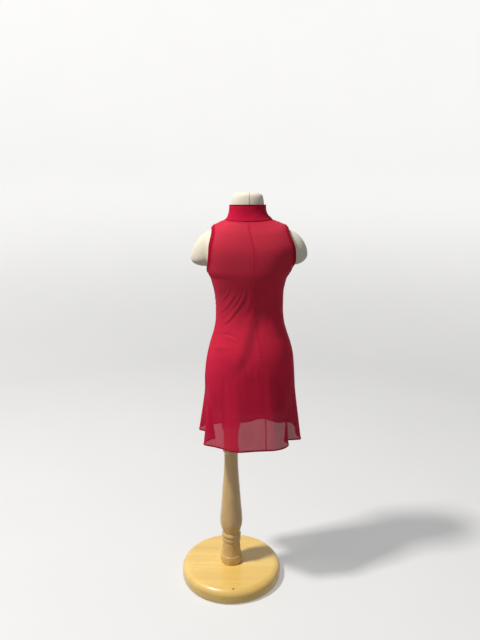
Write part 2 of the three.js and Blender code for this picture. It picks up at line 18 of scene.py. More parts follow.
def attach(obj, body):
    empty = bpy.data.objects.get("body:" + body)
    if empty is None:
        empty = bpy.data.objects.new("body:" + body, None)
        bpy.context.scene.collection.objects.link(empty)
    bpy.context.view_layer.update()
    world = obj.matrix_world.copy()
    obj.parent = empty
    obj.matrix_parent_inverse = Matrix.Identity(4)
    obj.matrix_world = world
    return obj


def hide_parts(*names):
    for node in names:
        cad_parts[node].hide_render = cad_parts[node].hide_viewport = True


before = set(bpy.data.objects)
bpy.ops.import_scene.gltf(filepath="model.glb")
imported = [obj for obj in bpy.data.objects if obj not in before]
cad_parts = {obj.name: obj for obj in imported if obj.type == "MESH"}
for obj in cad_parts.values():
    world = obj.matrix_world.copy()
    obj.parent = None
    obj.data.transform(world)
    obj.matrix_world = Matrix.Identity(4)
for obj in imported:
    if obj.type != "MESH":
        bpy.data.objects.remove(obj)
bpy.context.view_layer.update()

MM = 0.001
BODY = "root"
CENTRE_Y = 5
HIP_Z = 650
HEM_Z = 455
HEM_GIRTH = 930  # about, with the folds
BODY_GIRTH = 640  # about, between chest and seat

# ----- The dress's and the form's sizes -----
RING_COLUMNS = ("name", "x", "half_width", "back", "front", "side_z", "back_z", "front_z", "turn")
DRESS_COLUMNS = RING_COLUMNS + ("square",)


def table(columns, rows):
    """A short table as one array for each named column. Names stay for the reader."""
    return {key: np.array([row[i] for row in rows], float)
            for i, key in enumerate(columns) if key != "name"}


DRESS_ROWS = table(DRESS_COLUMNS, [
    ("neck seam", 50, 62, 50, 58, 1085, 1082, 1062, 0, 2.25),
    ("upper shoulder", 52, 84, 60, 64, 1076, 1066, 1042, 0, 2.45),
    ("shoulder point", 53, 104, 72, 70, 1063, 1042, 1018, 0, 2.8),
    ("shoulder blades", 53, 124, 82, 79, 1020, 1003, 990, 0, 3.0),
    ("underarm", 51, 116.5, 83, 86, 951, 954, 952, 0, 2.7),
    ("lower chest", 50.5, 105, 80, 86, 925, 925, 925, 1, 2.4),
    ("ribs", 51, 97, 74, 83, 892, 892, 892, 2, 2.25),
    ("upper waist", 52.5, 94.4, 68.5, 80, 860, 860, 860, 3, 2.25),
    ("waist", 53, 94, 66, 79.5, 832, 832, 832, 4, 2.25),
    ("lower waist", 54, 96.5, 68.5, 81.5, 802, 802, 802, 5, 2.25),
    ("tummy", 55, 103.5, 76, 85.5, 773, 773, 773, 6, 2.25),
    ("high hip", 55.5, 113.5, 85.5, 89, 742, 742, 742, 7.5, 2.25),
    ("hip", 55.5, 121, 92, 91.5, 712, 712, 712, 9.5, 2.25),
    ("full hip", 54.5, 125.5, 95, 93, 680, 680, 680, 12, 2.25),
    ("skirt top", 54, 128, 96, 94, HIP_Z, HIP_Z, HIP_Z, 14, 2.25),
])
HIP_ROW = 14
HEM_ROW = 15
SHOULDER_ROW = 2
UNDERARM_ROW = 4
SQUARENESS = 2.25  # 2 is an ellipse
SIDE_HOLD = 1.7  # how long a ring keeps its side height
LAST_ROW_HEIGHT = 30  # between the last two rows
SKIRT_EASE = 0.85  # how far the skirt's fall keeps the hip's slope at first
HIP_SOFTNESS = 0.12  # rounds the hip's slope where a ring crosses its own middle

# Where the armhole's back edge stands off the figure: its place, its shift, and how far the
# shift reaches round the dress, up it and down it.
FLARES = (
    {"name": "right armhole", "share": 0.06, "u": 3.55, "x": 10, "y": -5,
     "around": 0.05, "up": 0.75, "down": 0.32},
    {"name": "left armhole", "share": 0.435, "u": 3.1, "x": 5, "y": -6,
     "around": 0.05, "up": 0.9, "down": 0.5},
)

# The hem's outline seen from above, a row for each fold or turn.
HEM_FOLDS = table(("name", "share", "x", "y"), [
    ("right side seam", 0, 194, 66),
    ("right flute outer side", 0.052, 192, 14),
    ("right flute tip", 0.086, 203, -21),
    ("right flute inner side", 0.112, 179, -28),
    ("right inner fold", 0.139, 154, -33),
    ("right near fold", 0.166, 165, -59),
    ("right near corner", 0.188, 156, -82),
    ("back right", 0.215, 134, -95),
    ("centre back", 0.25, 96, -102),
    ("back middle", 0.3, 48, -110),
    ("back lowest", 0.35, 4, -107),
    ("back left", 0.404, -42, -78),
    ("left near fold", 0.448, -77, -58),
    ("left inner side", 0.475, -60, -28),
    ("left inner fold", 0.503, -46, -14),
    ("left flute inner side", 0.553, -73, 30),
    ("left flute tip", 0.598, -97, 50),
    ("left front corner", 0.645, -80, 82),
    ("front left", 0.69, -42, 94),
    ("front middle", 0.745, 10, 99),
    ("front rise", 0.79, 52, 107),
    ("front wave", 0.845, 100, 131),
    ("front dip", 0.885, 140, 103),
    ("front right", 0.935, 178, 107),
])

CENTRE_BACK = 0.25
CENTRE_SEAM_SHIFT = np.array([0.008, 0.0021, -0.0007, -0.0035, -0.0079, -0.011, -0.013])
SEAM_RETURN = 0.01  # the shift that the seam takes back from there down to the hem
ARMHOLE_BACK = 0.076
ARMHOLE_FRONT = 0.09
ARMHOLE_POWER = 2.35

COLLAR_ROWS = table(RING_COLUMNS, [
    ("seam", 50, 61.5, 49.3, 57, 1084.1, 1081.3, 1061.5, 0),
    ("flare", 48.5, 55.5, 45.5, 54, 1093, 1091.5, 1072, 0),
    ("stand", 47.5, 51, 43, 51.5, 1103, 1103, 1084, 0),
    ("upper stand", 47, 49.2, 42, 50, 1113, 1114, 1096, 0),
    ("top", 47, 48.8, 41.6, 49.4, 1122.5, 1123.5, 1106, 0),
])
COLLAR_LAST = 4

FORM_NECK = table(RING_COLUMNS, [
    ("neck top", 47, 26, 21, 30, 1156, 1156, 1154, 0),
    ("neck shoulder", 47, 36, 30, 39, 1152.5, 1153, 1149, 0),
    ("neck edge", 47, 41.5, 35, 43, 1144, 1145, 1139, 0),
    ("neck", 47, 44, 37.2, 45, 1128, 1129, 1120, 0),
    ("in the collar", 47.5, 45.5, 38, 46.2, 1108, 1108, 1094, 0),
    ("neck root", 48, 48.5, 40.2, 48.6, 1096, 1096, 1080, 0),
    ("neck spread", 49, 53.5, 43.8, 52, 1087, 1086, 1069, 0),
])
FORM_HIPS = table(RING_COLUMNS, [
    ("high hip", 55.5, 110, 82, 84.5, 742, 742, 742, 0),
    ("hip", 55, 117, 88.5, 85.5, 712, 712, 712, 0),
    ("full hip", 54.5, 120, 90, 84.5, 680, 680, 680, 0),
    ("seat", 54, 120, 88, 82.5, 645, 645, 645, 0),
    ("under the seat", 54, 116, 83, 79, 606, 606, 606, 0),
    ("thigh", 54, 111, 77, 75, 572, 572, 572, 0),
    ("lower edge", 54, 106.5, 71, 70, 549, 549, 549, 0),
    ("rounding", 54, 101, 66, 65, 540.5, 540.5, 540.5, 0),
    ("underside", 54, 92, 57, 56, 538, 538, 538, 0),
])
FORM_LAST_CLOTH_ROW = 10
FORM_INSET = 3.6

CAPS = (
    {"side": -1, "z": 994, "reach": 56, "up": 62, "down": 34, "drop": 14, "under": 2.2},
    {"side": 1, "z": 998, "reach": 52.5, "up": 59, "down": 37, "drop": 8, "under": 2.2},
)
CAP_X = 53
CAP_OUT = 106
CAP_Y = 2
CAP_DEPTH = 35
CAP_ROUNDNESS = 1.85
CAP_ROOT = 20
CAP_ROOT_DEPTH = 0.9

BASE_RADIUS = 150
BASE_HEIGHT = 44
BASE_TOP_ROUND = 19
BASE_FOOT_ROUND = 9
LATHE_COLUMNS = ("name", "z", "radius")
POLE_OUTLINE = table(LATHE_COLUMNS, [
    ("foot", 44.3, 31),
    ("foot ring", 50, 32.6),
    ("foot ring middle", 60, 32.8),
    ("foot ring top", 69, 31.8),
    ("step", 72, 29.8),
    ("cove", 88, 27.6),
    ("cove top", 108, 26.6),
    ("lower groove", 111, 26.1),
    ("lower bead", 117, 27.8),
    ("lower bead crown", 124, 28.4),
    ("groove", 129.5, 26.6),
    ("upper bead", 133, 28.6),
    ("upper bead crown", 137, 29.2),
    ("upper bead top", 141, 28.2),
    ("neck", 146, 25.8),
    ("vase foot", 152, 27.4),
    ("vase lower", 163, 31),
    ("vase belly", 180, 33.6),
    ("vase upper", 200, 33),
    ("taper low", 232, 30.2),
    ("taper", 275, 27),
    ("taper high", 320, 23.6),
    ("slim", 358, 21),
    ("slimmest", 390, 20.2),
    ("collar groove", 405, 20.8),
    ("collar ring", 410, 24.4),
    ("collar ring top", 416, 24.4),
    ("above the ring", 421, 21.8),
    ("shank", 450, 22),
    ("top", 474, 22.4),
])
KNOB_OUTLINE = table(LATHE_COLUMNS, [
    ("bottom", 474.3, 23),
    ("lower swell", 481, 26),
    ("belly", 494, 27.6),
    ("upper swell", 508, 26.4),
    ("waist", 520, 23.4),
    ("flare", 531, 24.6),
    ("top", 537.7, 26.2),
])

# Creases that are pulled into the cloth: a path of (share, u) pairs, the ridge's height, its
# half width, and how deep the trough on its lower side is, as a part of the height.
CREASES = [dict(zip(("name", "path", "height", "width", "trough"), row)) for row in (
    ("waist drag", ((0.427, 9.14), (0.364, 8.56), (0.317, 7.54), (0.274, 6.22), (0.262, 5.25)),
     1.15, 3.4, 0.6),
    ("waist drag above", ((0.428, 8.01), (0.379, 7.39), (0.333, 6.51), (0.295, 5.51)), 0.8, 3.0, 0.55),
    ("waist drag between", ((0.341, 7.37), (0.31, 6.7), (0.279, 5.83)), 0.55, 2.6, 0.55),
    ("waist drag fine", ((0.421, 6.99), (0.379, 6.5), (0.348, 5.98), (0.326, 5.46)), 0.5, 2.8, 0.7),
    ("waist drag right", ((0.288, 8.26), (0.267, 7.37), (0.254, 6.52), (0.246, 5.75)), 0.8, 5.0, 0.3),
    ("soft low drag", ((0.405, 10.02), (0.359, 10.11), (0.332, 10.23), (0.305, 10.45)), 0.9, 3.4, 0.9),
    ("low fold", ((0.439, 9.91), (0.38, 9.61), (0.342, 9.39)), 0.6, 4.5, 0.6),
    ("lowest drag", ((0.446, 11.26), (0.386, 10.96), (0.337, 11.02)), 0.8, 7.0, 0.6),
    ("seat drape", ((0.334, 13.0), (0.316, 12.2), (0.297, 11.05), (0.279, 9.88), (0.257, 8.26),
      (0.243, 6.53), (0.236, 4.8)), 2.0, 12.0, 0.75),
    ("seat drape, broad", ((0.36, 13.4), (0.335, 12.29), (0.312, 11.05), (0.292, 9.88), (0.27, 8.26),
      (0.255, 6.53)), 1.8, 26.0, 0.35),
    ("right waist fill", ((0.05, 8.7), (0.1, 8.85), (0.15, 9.0), (0.2, 9.15)), 3.0, 26.0, 0.0),
    ("underarm left fill", ((0.485, 5.6), (0.44, 5.55), (0.39, 5.5), (0.32, 5.45)), 3.3, 25.0, 0.0),
    ("skirt streak", ((0.286, 12.5), (0.283, 13.3), (0.28, 14.25)), 0.5, 3.6, 0.5),
    ("skirt streak left", ((0.305, 13.0), (0.303, 13.6), (0.3, 14.3)), 0.4, 3.4, 0.5),
    ("skirt streak right", ((0.268, 12.9), (0.267, 13.5), (0.266, 14.2)), 0.6, 2.8, 0.6),
    ("right waist pull", ((0.04, 8.6), (0.09, 8.1), (0.15, 7.2)), 1.2, 7.0, 0.7),
    ("right waist pull low", ((0.03, 9.6), (0.08, 9.5), (0.12, 9.1)), 0.9, 6.5, 0.7),
    ("blade pull left", ((0.43, 3.6), (0.4, 3.9), (0.35, 4.3)), 0.3, 7.0, 0.6),
    ("blade pull right", ((0.07, 3.7), (0.1, 4.1), (0.15, 4.6)), 0.9, 7.0, 0.6),
    ("front drag", ((0.56, 9.3), (0.61, 8.4), (0.65, 7.5), (0.68, 6.6)), 2.4, 6.5, 0.8),
    ("front drag above", ((0.55, 8.1), (0.6, 7.2), (0.64, 6.4)), 1.7, 5.5, 0.8),
    ("front drag low", ((0.57, 10.3), (0.62, 10.0), (0.67, 9.6)), 1.4, 7.0, 0.7),
    ("front right drag", ((0.96, 8.9), (0.92, 8.1), (0.88, 7.3)), 1.6, 6.0, 0.7),
    ("front right drag low", ((0.95, 10.1), (0.91, 9.9), (0.86, 9.3)), 1.1, 7.0, 0.7),
    ("front armhole pull left", ((0.6, 4.2), (0.64, 4.6), (0.69, 4.8)), 1.0, 7.0, 0.6),
    ("front armhole pull right", ((0.9, 4.2), (0.86, 4.7), (0.81, 4.9)), 1.1, 7.0, 0.6),
)]
TROUGH_SHIFT = 1.7  # from the ridge to its trough, in half widths
CREASE_STEPS = 8  # straight steps between two path points

# Soft upright folds of the skirt between the hem's own folds: share, the row where the fold
# starts, its height at the hem and its half width there.
SKIRT_FOLDS = table(("name", "share", "start", "height", "width"), [
    ("by the centre back", 0.232, 12.6, 2.6, 15),
    ("right of the middle", 0.19, 13.2, -2.2, 13),
    ("left of the middle", 0.285, 12.9, -2.0, 16),
    ("back left soft", 0.33, 13.3, 2.4, 14),
    ("back left inner", 0.375, 13.0, -2.2, 12),
    ("front left soft", 0.67, 12.9, -2.5, 14),
    ("front left middle", 0.715, 13.2, 2.8, 15),
    ("front centre", 0.77, 12.8, -2.4, 16),
    ("front right soft", 0.82, 13.1, 2.2, 13),
    ("front right inner", 0.91, 13.0, -2.6, 15),
])


# ----- Surfaces -----
def smooth_value(values, u):
    """A smooth curve through evenly spaced values, read at positions u."""
    last = len(values) - 1
    i = np.clip(np.floor(u).astype(int), 0, last - 1)
    k = u - i

    def at(n):
        return values[np.clip(n, 0, last)]

    def slope(n):
        return (at(n + 1) - at(n - 1)) / np.where((n <= 0) | (n >= last), 1, 2)

    h = k * k * (3 - 2 * k)
    return at(i) * (1 - h) + at(i + 1) * h + slope(i) * k * (1 - k) ** 2 + slope(i + 1) * k * k * (k - 1)


def signed_power(value, power, soft=0.0):
    """A power that keeps the sign; soft rounds its steep middle."""
    return value * np.maximum(value * value + soft * soft, 1e-18) ** ((power - 1) / 2)


def ring_points(rows, share, u, twisted=True, soft=0.0):
    """Points on a table's rings. share runs round from +X by the back (-Y)."""
    ring = {key: smooth_value(values, u) for key, values in rows.items()}
    angle = 2 * np.pi * share - np.radians(ring["turn"] if twisted else 0)
    c, s = np.cos(angle), np.sin(angle)
    power = 2 / ring.get("square", SQUARENESS)
    depth = np.where(s > 0, ring["back"], ring["front"])
    end_z = np.where(s > 0, ring["back_z"], ring["front_z"])
    return np.stack([
        ring["x"] + ring["half_width"] * signed_power(c, power, soft),
        CENTRE_Y - depth * signed_power(s, power, soft),
        ring["side_z"] + (end_z - ring["side_z"]) * np.abs(s) ** SIDE_HOLD,
    ], -1)


def flare_shift(share, u):
    """How far the armholes' back edges stand off, as x, y and z."""
    shift = np.zeros(np.shape(share) + (3,))
    for flare in FLARES:
        reach = np.where(u < flare["u"], flare["up"], flare["down"])
        aside = (share - flare["share"] + 0.5) % 1 - 0.5
        amount = np.exp(-((aside / flare["around"]) ** 2) - ((u - flare["u"]) / reach) ** 2)
        shift[..., 0] += flare["x"] * amount
        shift[..., 1] += flare["y"] * amount
    return shift


def hem_points(share):
    """The hem's x and y as a smooth closed curve through its folds."""
    shares = HEM_FOLDS["share"]
    n = len(shares)
    wrapped = share - np.floor(share)
    i = np.clip(np.searchsorted(shares, wrapped, side="right") - 1, 0, n - 1)

    def share_of(j):
        return shares[j % n] + np.floor(j / n)

    span = share_of(i + 1) - share_of(i)
    k = (wrapped - share_of(i)) / span
    h = k * k * (3 - 2 * k)
    found = []
    for key in ("x", "y"):
        values = HEM_FOLDS[key]

        def slope(j):
            return (values[(j + 1) % n] - values[(j - 1) % n]) / (share_of(j + 1) - share_of(j - 1))

        found.append(values[i % n] * (1 - h) + values[(i + 1) % n] * h
                     + span * (slope(i) * k * (1 - k) ** 2 + slope(i + 1) * k * k * (k - 1)))
    return np.stack(found, -1)


def plain_dress(share, u):
    """The middle of the cloth without its creases."""
    share, u = np.broadcast_arrays(np.asarray(share, float), np.asarray(u, float))
    points = ring_points(DRESS_ROWS, share, np.minimum(u, HIP_ROW)) + flare_shift(share, u)
    fall = np.clip(u - HIP_ROW, 0, 1)[..., None]
    step = 0.02
    above = ring_points(DRESS_ROWS, share, np.full_like(u, HIP_ROW - step), soft=HIP_SOFTNESS)
    level = ring_points(DRESS_ROWS, share, np.full_like(u, HIP_ROW), soft=HIP_SOFTNESS)
    top = ring_points(DRESS_ROWS, share, np.full_like(u, HIP_ROW))
    hem = np.concatenate([hem_points(share), np.full_like(u, HEM_Z)[..., None]], -1)
    skirt_drop = (HIP_Z - HEM_Z) / LAST_ROW_HEIGHT
    ease = SKIRT_EASE * fall * (1 - fall) ** 3
    skirt = top + (hem - top) * fall + ((level - above) / step * skirt_drop - (hem - top)) * ease
    return np.where(u[..., None] > HIP_ROW, skirt, points)


def normals_of(surface, share, u, last_row):
    """The outward directions of a surface given by a function of share and u."""
    e = 1e-3
    low, high = np.maximum(u - e * 10, 0), np.minimum(u + e * 10, last_row)
    around = surface(share + e, u) - surface(share - e, u)
    down = surface(share, high) - surface(share, low)
    normal = np.cross(around, down)
    return normal / np.linalg.norm(normal, axis=-1, keepdims=True)


def crease_path(pairs):
    """Points on the plain cloth along a crease, smoothly through its (share, u) pairs."""
    pairs = np.array(pairs, float)
    t = np.linspace(0, len(pairs) - 1, (len(pairs) - 1) * CREASE_STEPS + 1)
    return plain_dress(smooth_value(pairs[:, 0], t), smooth_value(pairs[:, 1], t))


def smooth_step(x):
    x = np.clip(x, 0, 1)
    return x * x * (3 - 2 * x)


def crease_offset(points, normals, crease):
    """How far one crease lifts each point: a soft ridge with a trough on its lower side."""
    path = crease_path(crease["path"])
    width = crease["width"]
    reach = 5.5 * width
    near = np.all((points > path.min(0) - reach) & (points < path.max(0) + reach), axis=-1)
    lifted = np.zeros(points.shape[:-1])
    p, n = points[near], normals[near]
    nearest = np.full(len(p), np.inf)
    along, aside = np.zeros(len(p)), np.zeros(len(p))
    for i in range(len(path) - 1):
        a, ab = path[i], path[i + 1] - path[i]
        t = np.clip(((p - a) @ ab) / (ab @ ab), 0, 1)
        d = p - a - t[:, None] * ab
        distance = np.linalg.norm(d, axis=1)
        closer = distance < nearest
        nearest = np.where(closer, distance, nearest)
        along = np.where(closer, (i + t) / (len(path) - 1), along)
        towards = np.cross(n, ab / np.linalg.norm(ab))
        aside = np.where(closer, distance * np.sign((d * towards).sum(1)), aside)
    runs_up = path[0][2] < path[-1][2]
    on_back = path[len(path) // 2][1] < CENTRE_Y
    lower_side = -1 if runs_up == on_back else 1
    fade = smooth_step(along / 0.3) * smooth_step((1 - along) / 0.4)
    spread = width * (0.75 + 0.5 * fade)
    ridge = np.exp(-((aside / spread) ** 2))
    trough = np.exp(-((aside / spread - TROUGH_SHIFT * lower_side) ** 2))
    lifted[near] = crease["height"] * fade * (ridge - crease["trough"] * trough)
    return lifted


def fold_offset(share, u):
    """The lift of the skirt's soft upright folds."""
    lift = np.zeros(np.shape(share))
    for at, start, height, width in zip(*(SKIRT_FOLDS[k] for k in ("share", "start", "height", "width"))):
        grown = smooth_step((u - start) / (HEM_ROW - start))
        aside = (share - at) * HEM_GIRTH
        lift += height * grown * np.exp(-((aside / (width * (0.6 + 0.5 * grown))) ** 2))
    return lift


def pucker_offset(share, u):
    """Small gathers along the centre back seam and the side seams."""
    lift = np.zeros(np.shape(share))
    seams = ((centre_seam(u), 0.12, 17.0), (0.0, 0.35, 14.0), (0.5, 0.35, 15.0), (1.0, 0.35, 14.0))
    for at, height, wave in seams:
        aside = np.abs(share - at) * BODY_GIRTH
        strength = height * np.exp(-((aside / 9) ** 2)) * (0.5 + 0.5 * np.sin(u * 1.7 + 5 * height))
        strength = strength * smooth_step((u - 4.5) / 1.5)
        lift += strength * np.sin(u * wave + 1.3 * np.sin(u * 3.1))
    return lift


def centre_seam(u):
    last = len(CENTRE_SEAM_SHIFT) - 1
    back = SEAM_RETURN * smooth_step((u - last) / (HEM_ROW - last))
    return CENTRE_BACK + smooth_value(CENTRE_SEAM_SHIFT, np.minimum(u, last)) + back


def cloth(share, u, lift=0.0):
    """Points and outward directions of the creased cloth, moved out by lift."""
    share, u = np.broadcast_arrays(np.asarray(share, float), np.asarray(u, float))
    points = plain_dress(share, u)
    normals = normals_of(plain_dress, share, u, HEM_ROW)
    offset = fold_offset(share, u) + pucker_offset(share, u) + lift
    for crease in CREASES:
        offset = offset + crease_offset(points, normals, crease)
    return points + normals * offset[..., None], normals


def armhole_cut(u):
    middle = (SHOULDER_ROW + UNDERARM_ROW) / 2
    half = (UNDERARM_ROW - SHOULDER_ROW) / 2
    w = np.minimum(np.abs((u - middle) / half), 1)
    return (1 - w ** ARMHOLE_POWER) ** (1 / ARMHOLE_POWER)


def side_line(middle, reach=0.0):
    """The share down one side for each row, drawn aside by the armhole's cut."""
    return lambda u: middle + reach * armhole_cut(u)


left_side, right_side = side_line(0.5), side_line(0.0)


def share_for(distance, share, u):
    """The share that a distance takes round the dress at one place."""
    e = 1e-3
    width = np.linalg.norm(plain_dress(share + e, u) - plain_dress(share - e, u), axis=-1)
    return distance * 2 * e / width


# ----- Mesh making -----
def grid_faces(rows, columns, closed_columns=False, closed_rows=False):
    faces = []
    for j in range(rows if closed_rows else rows - 1):
        for i in range(columns if closed_columns else columns - 1):
            i2, j2 = (i + 1) % columns, (j + 1) % rows
            faces.append((j * columns + i, j2 * columns + i, j2 * columns + i2, j * columns + i2))
    return faces


def add_piece(name, mesh, slot, node=None):
    """A smooth piece that rides on the part's one body, in place of a node if one is named."""
    mesh.polygons.foreach_set("use_smooth", [True] * len(mesh.polygons))
    piece = bpy.data.objects.new(name, mesh)
    bpy.context.scene.collection.objects.link(piece)
    if slot:
        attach(piece, BODY)
    if node:
        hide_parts(node)
    return piece


def add_mesh(name, points, faces, material, slot, uv=None, node=None):
    """A new piece from its points, in millimetres, and its faces."""
    mesh = bpy.data.meshes.new(name)
    points = np.asarray(points, float).reshape(-1, 3) * MM
    mesh.from_pydata([tuple(p) for p in points], [], faces)
    if uv is not None:
        layer = mesh.uv_layers.new(name="UVMap")
        index = np.zeros(len(mesh.loops), int)
        mesh.loops.foreach_get("vertex_index", index)
        layer.data.foreach_set("uv", np.asarray(uv, float).reshape(-1, 2)[index].ravel())
    mesh.materials.append(material)
    mesh.update()
    return add_piece(name, mesh, slot, node)


def length_uv(points):
    """Texture coordinates in metres: along each row, and down the columns."""
    across = np.linalg.norm(np.diff(points, axis=1), axis=2)
    down = np.linalg.norm(np.diff(points, axis=0), axis=2)
    x = np.concatenate([np.zeros((points.shape[0], 1)), np.cumsum(across, 1)], 1)
    x -= x[:, x.shape[1] // 2][:, None]
    y = np.concatenate([np.zeros((1, points.shape[1])), np.cumsum(down, 0)], 0)
    return np.stack([x, -y], -1) * MM


def cloth_mesh(name, grid, material, node=None):
    """A piece of the dress from a grid of points."""
    return add_mesh(name, grid, grid_faces(*grid.shape[:2]), material, "red_mesh", length_uv(grid), node)


# ----- Materials -----
def new_material(name, **constants):
    """A Principled material with its constants on the shader's own sockets."""
    material = bpy.data.materials.new(name)
    material.use_nodes = True
    shader = material.node_tree.nodes["Principled BSDF"]
    for key, value in constants.items():
        shader.inputs[key.replace("_", " ")].default_value = value
    return material, material.node_tree, shader


def add_node(tree, kind, inputs=None, **settings):
    """A shader node. An input is a constant, or another node's output socket to link."""
    node = tree.nodes.new(kind)
    for key, value in settings.items():
        setattr(node, key, value)
    for key, value in (inputs or {}).items():
        if isinstance(value, bpy.types.NodeSocket):
            tree.links.new(value, node.inputs[key])
        else:
            node.inputs[key].default_value = value
    return node


def connect(tree, shader, **sockets):
    """Links node outputs to the shader's named sockets."""
    for key, value in sockets.items():
        tree.links.new(value, shader.inputs[key.replace("_", " ")])


def object_place(tree):
    return add_node(tree, "ShaderNodeTexCoord").outputs["Object"]


def maths(tree, operation, a, b=0.0, c=0.0):
    return add_node(tree, "ShaderNodeMath", {0: a, 1: b, 2: c}, operation=operation).outputs[0]


def map_range(tree, value, low, high, to_low, to_high, smooth=False):
    return add_node(
        tree, "ShaderNodeMapRange",
        {"Value": value, "From Min": low, "From Max": high, "To Min": to_low, "To Max": to_high},
        interpolation_type="SMOOTHSTEP" if smooth else "LINEAR",
    ).outputs[0]


def mix_colour(tree, factor, a, b, blend="MIX"):
    inputs = {0: factor, 6: a, 7: b}
    return add_node(tree, "ShaderNodeMix", inputs, data_type="RGBA", blend_type=blend).outputs[2]


def noise(tree, coordinates, scale, detail=2.0, roughness=0.5):
    return add_node(
        tree, "ShaderNodeTexNoise",
        {"Vector": coordinates, "Scale": scale, "Detail": detail, "Roughness": roughness},
    ).outputs["Fac"]


def bump(tree, height, strength, distance, normal=None):
    inputs = {"Height": height, "Strength": strength, "Distance": distance}
    if normal is not None:
        inputs["Normal"] = normal
    return add_node(tree, "ShaderNodeBump", inputs).outputs[0]


def stretched(tree, coordinates, scale):
    """Coordinates with their own scale along each axis."""
    return add_node(tree, "ShaderNodeMapping", {"Vector": coordinates, "Scale": scale}).outputs[0]


def wave_pair(tree, x, y, pitch_x, pitch_y):
    """The product of two sine waves: a diamond lattice of high and low spots."""
    across = maths(tree, "SINE", maths(tree, "MULTIPLY", x, 2 * math.pi / pitch_x))
    down = maths(tree, "SINE", maths(tree, "MULTIPLY", y, 2 * math.pi / pitch_y))
    return maths(tree, "MULTIPLY", across, down)


def mesh_cloth_material(name, low_alpha, high_alpha, hole_depth, colours):
    """Sheer red power mesh: a fine diamond net of holes between dyed threads, and clearer where
    the cloth is stretched over the shoulders than in the loose skirt. Below the form's lower edge the colour
    is darkened as painted shade."""
    material, tree, shader = new_material(
        name, Roughness=0.7, Specular_IOR_Level=0.03, Sheen_Weight=0.04,
        Sheen_Roughness=0.5, Sheen_Tint=(1.0, 0.1, 0.2, 1.0),
    )
    coordinates = add_node(tree, "ShaderNodeTexCoord")
    uv = coordinates.outputs["UV"]
    height = add_node(tree, "ShaderNodeSeparateXYZ", {0: coordinates.outputs["Object"]}).outputs[2]
    parts = add_node(tree, "ShaderNodeSeparateXYZ", {0: uv})
    lattice = wave_pair(tree, parts.outputs[0], parts.outputs[1], 0.0024, 0.0028)
    hole = map_range(tree, maths(tree, "ABSOLUTE", lattice), 0.35, 0.8, 0.0, 1.0, smooth=True)
    patchy = noise(tree, uv, 9.0, 3.0)
    dye = map_range(tree, patchy, 0.3, 0.7, 0.0, 1.0)
    colour = mix_colour(tree, dye, colours[0], colours[1])
    colour = mix_colour(tree, maths(tree, "MULTIPLY", hole, 0.3), colour, colours[2])
    # painted shade: darker colour below the form's lower edge, where no lit form lies behind the cloth
    free = map_range(tree, height, 0.58, 0.70, 1.0, 0.0, smooth=True)
    colour = mix_colour(tree, free, colour, (0.86, 0.8, 0.9, 1), "MULTIPLY")
    solid = map_range(tree, height, 0.62, 1.0, low_alpha, high_alpha)
    alpha = maths(tree, "SUBTRACT", solid, maths(tree, "MULTIPLY", hole, hole_depth))
    connect(tree, shader, Base_Color=colour, Alpha=alpha, Normal=bump(tree, hole, 0.25, -0.0003))
    return material


def thread_material():
    material, tree, shader = new_material(
        "red_thread", Roughness=0.5, Specular_IOR_Level=0.35, Sheen_Weight=0.2,
    )
    position = object_place(tree)
    strands = noise(tree, position, 900.0, 1.0)
    colour = mix_colour(tree, strands, (0.30, 0.006, 0.02, 1), (0.44, 0.014, 0.035, 1))
    connect(tree, shader, Base_Color=colour)
    return material


JERSEY_TONES = ((0.82, 0.76, 0.63), (0.76, 0.69, 0.56), (0.62, 0.56, 0.44))


def jersey_material(name, depth):
    """Stretched cream jersey: fine upright wales, faint slubs and light soiling."""
    material, tree, shader = new_material(
        name, Roughness=0.85, Specular_IOR_Level=0.2, Sheen_Weight=0.25, Sheen_Roughness=0.6,
    )
    position = object_place(tree)
    parts = add_node(tree, "ShaderNodeSeparateXYZ", {0: position})
    around = maths(tree, "ADD", parts.outputs[0], parts.outputs[1])
    wales = wave_pair(tree, around, parts.outputs[2], 0.0018, 0.0024)
    slubs = noise(tree, stretched(tree, position, (1.0, 1.0, 0.12)), 260.0, 3.0, 0.6)
    soiling = noise(tree, position, 6.0, 4.0)
    clean, soiled, shaded = (tuple(depth * c for c in tone) + (1,) for tone in JERSEY_TONES)
    colour = mix_colour(tree, map_range(tree, soiling, 0.35, 0.7, 0.0, 1.0), clean, soiled)
    colour = mix_colour(tree, map_range(tree, slubs, 0.45, 0.75, 0.0, 0.35), colour, shaded)
    slub_relief = bump(tree, slubs, 0.25, 0.0006)
    connect(tree, shader, Base_Color=colour, Normal=bump(tree, wales, 0.2, 0.0003, slub_relief))
    return material


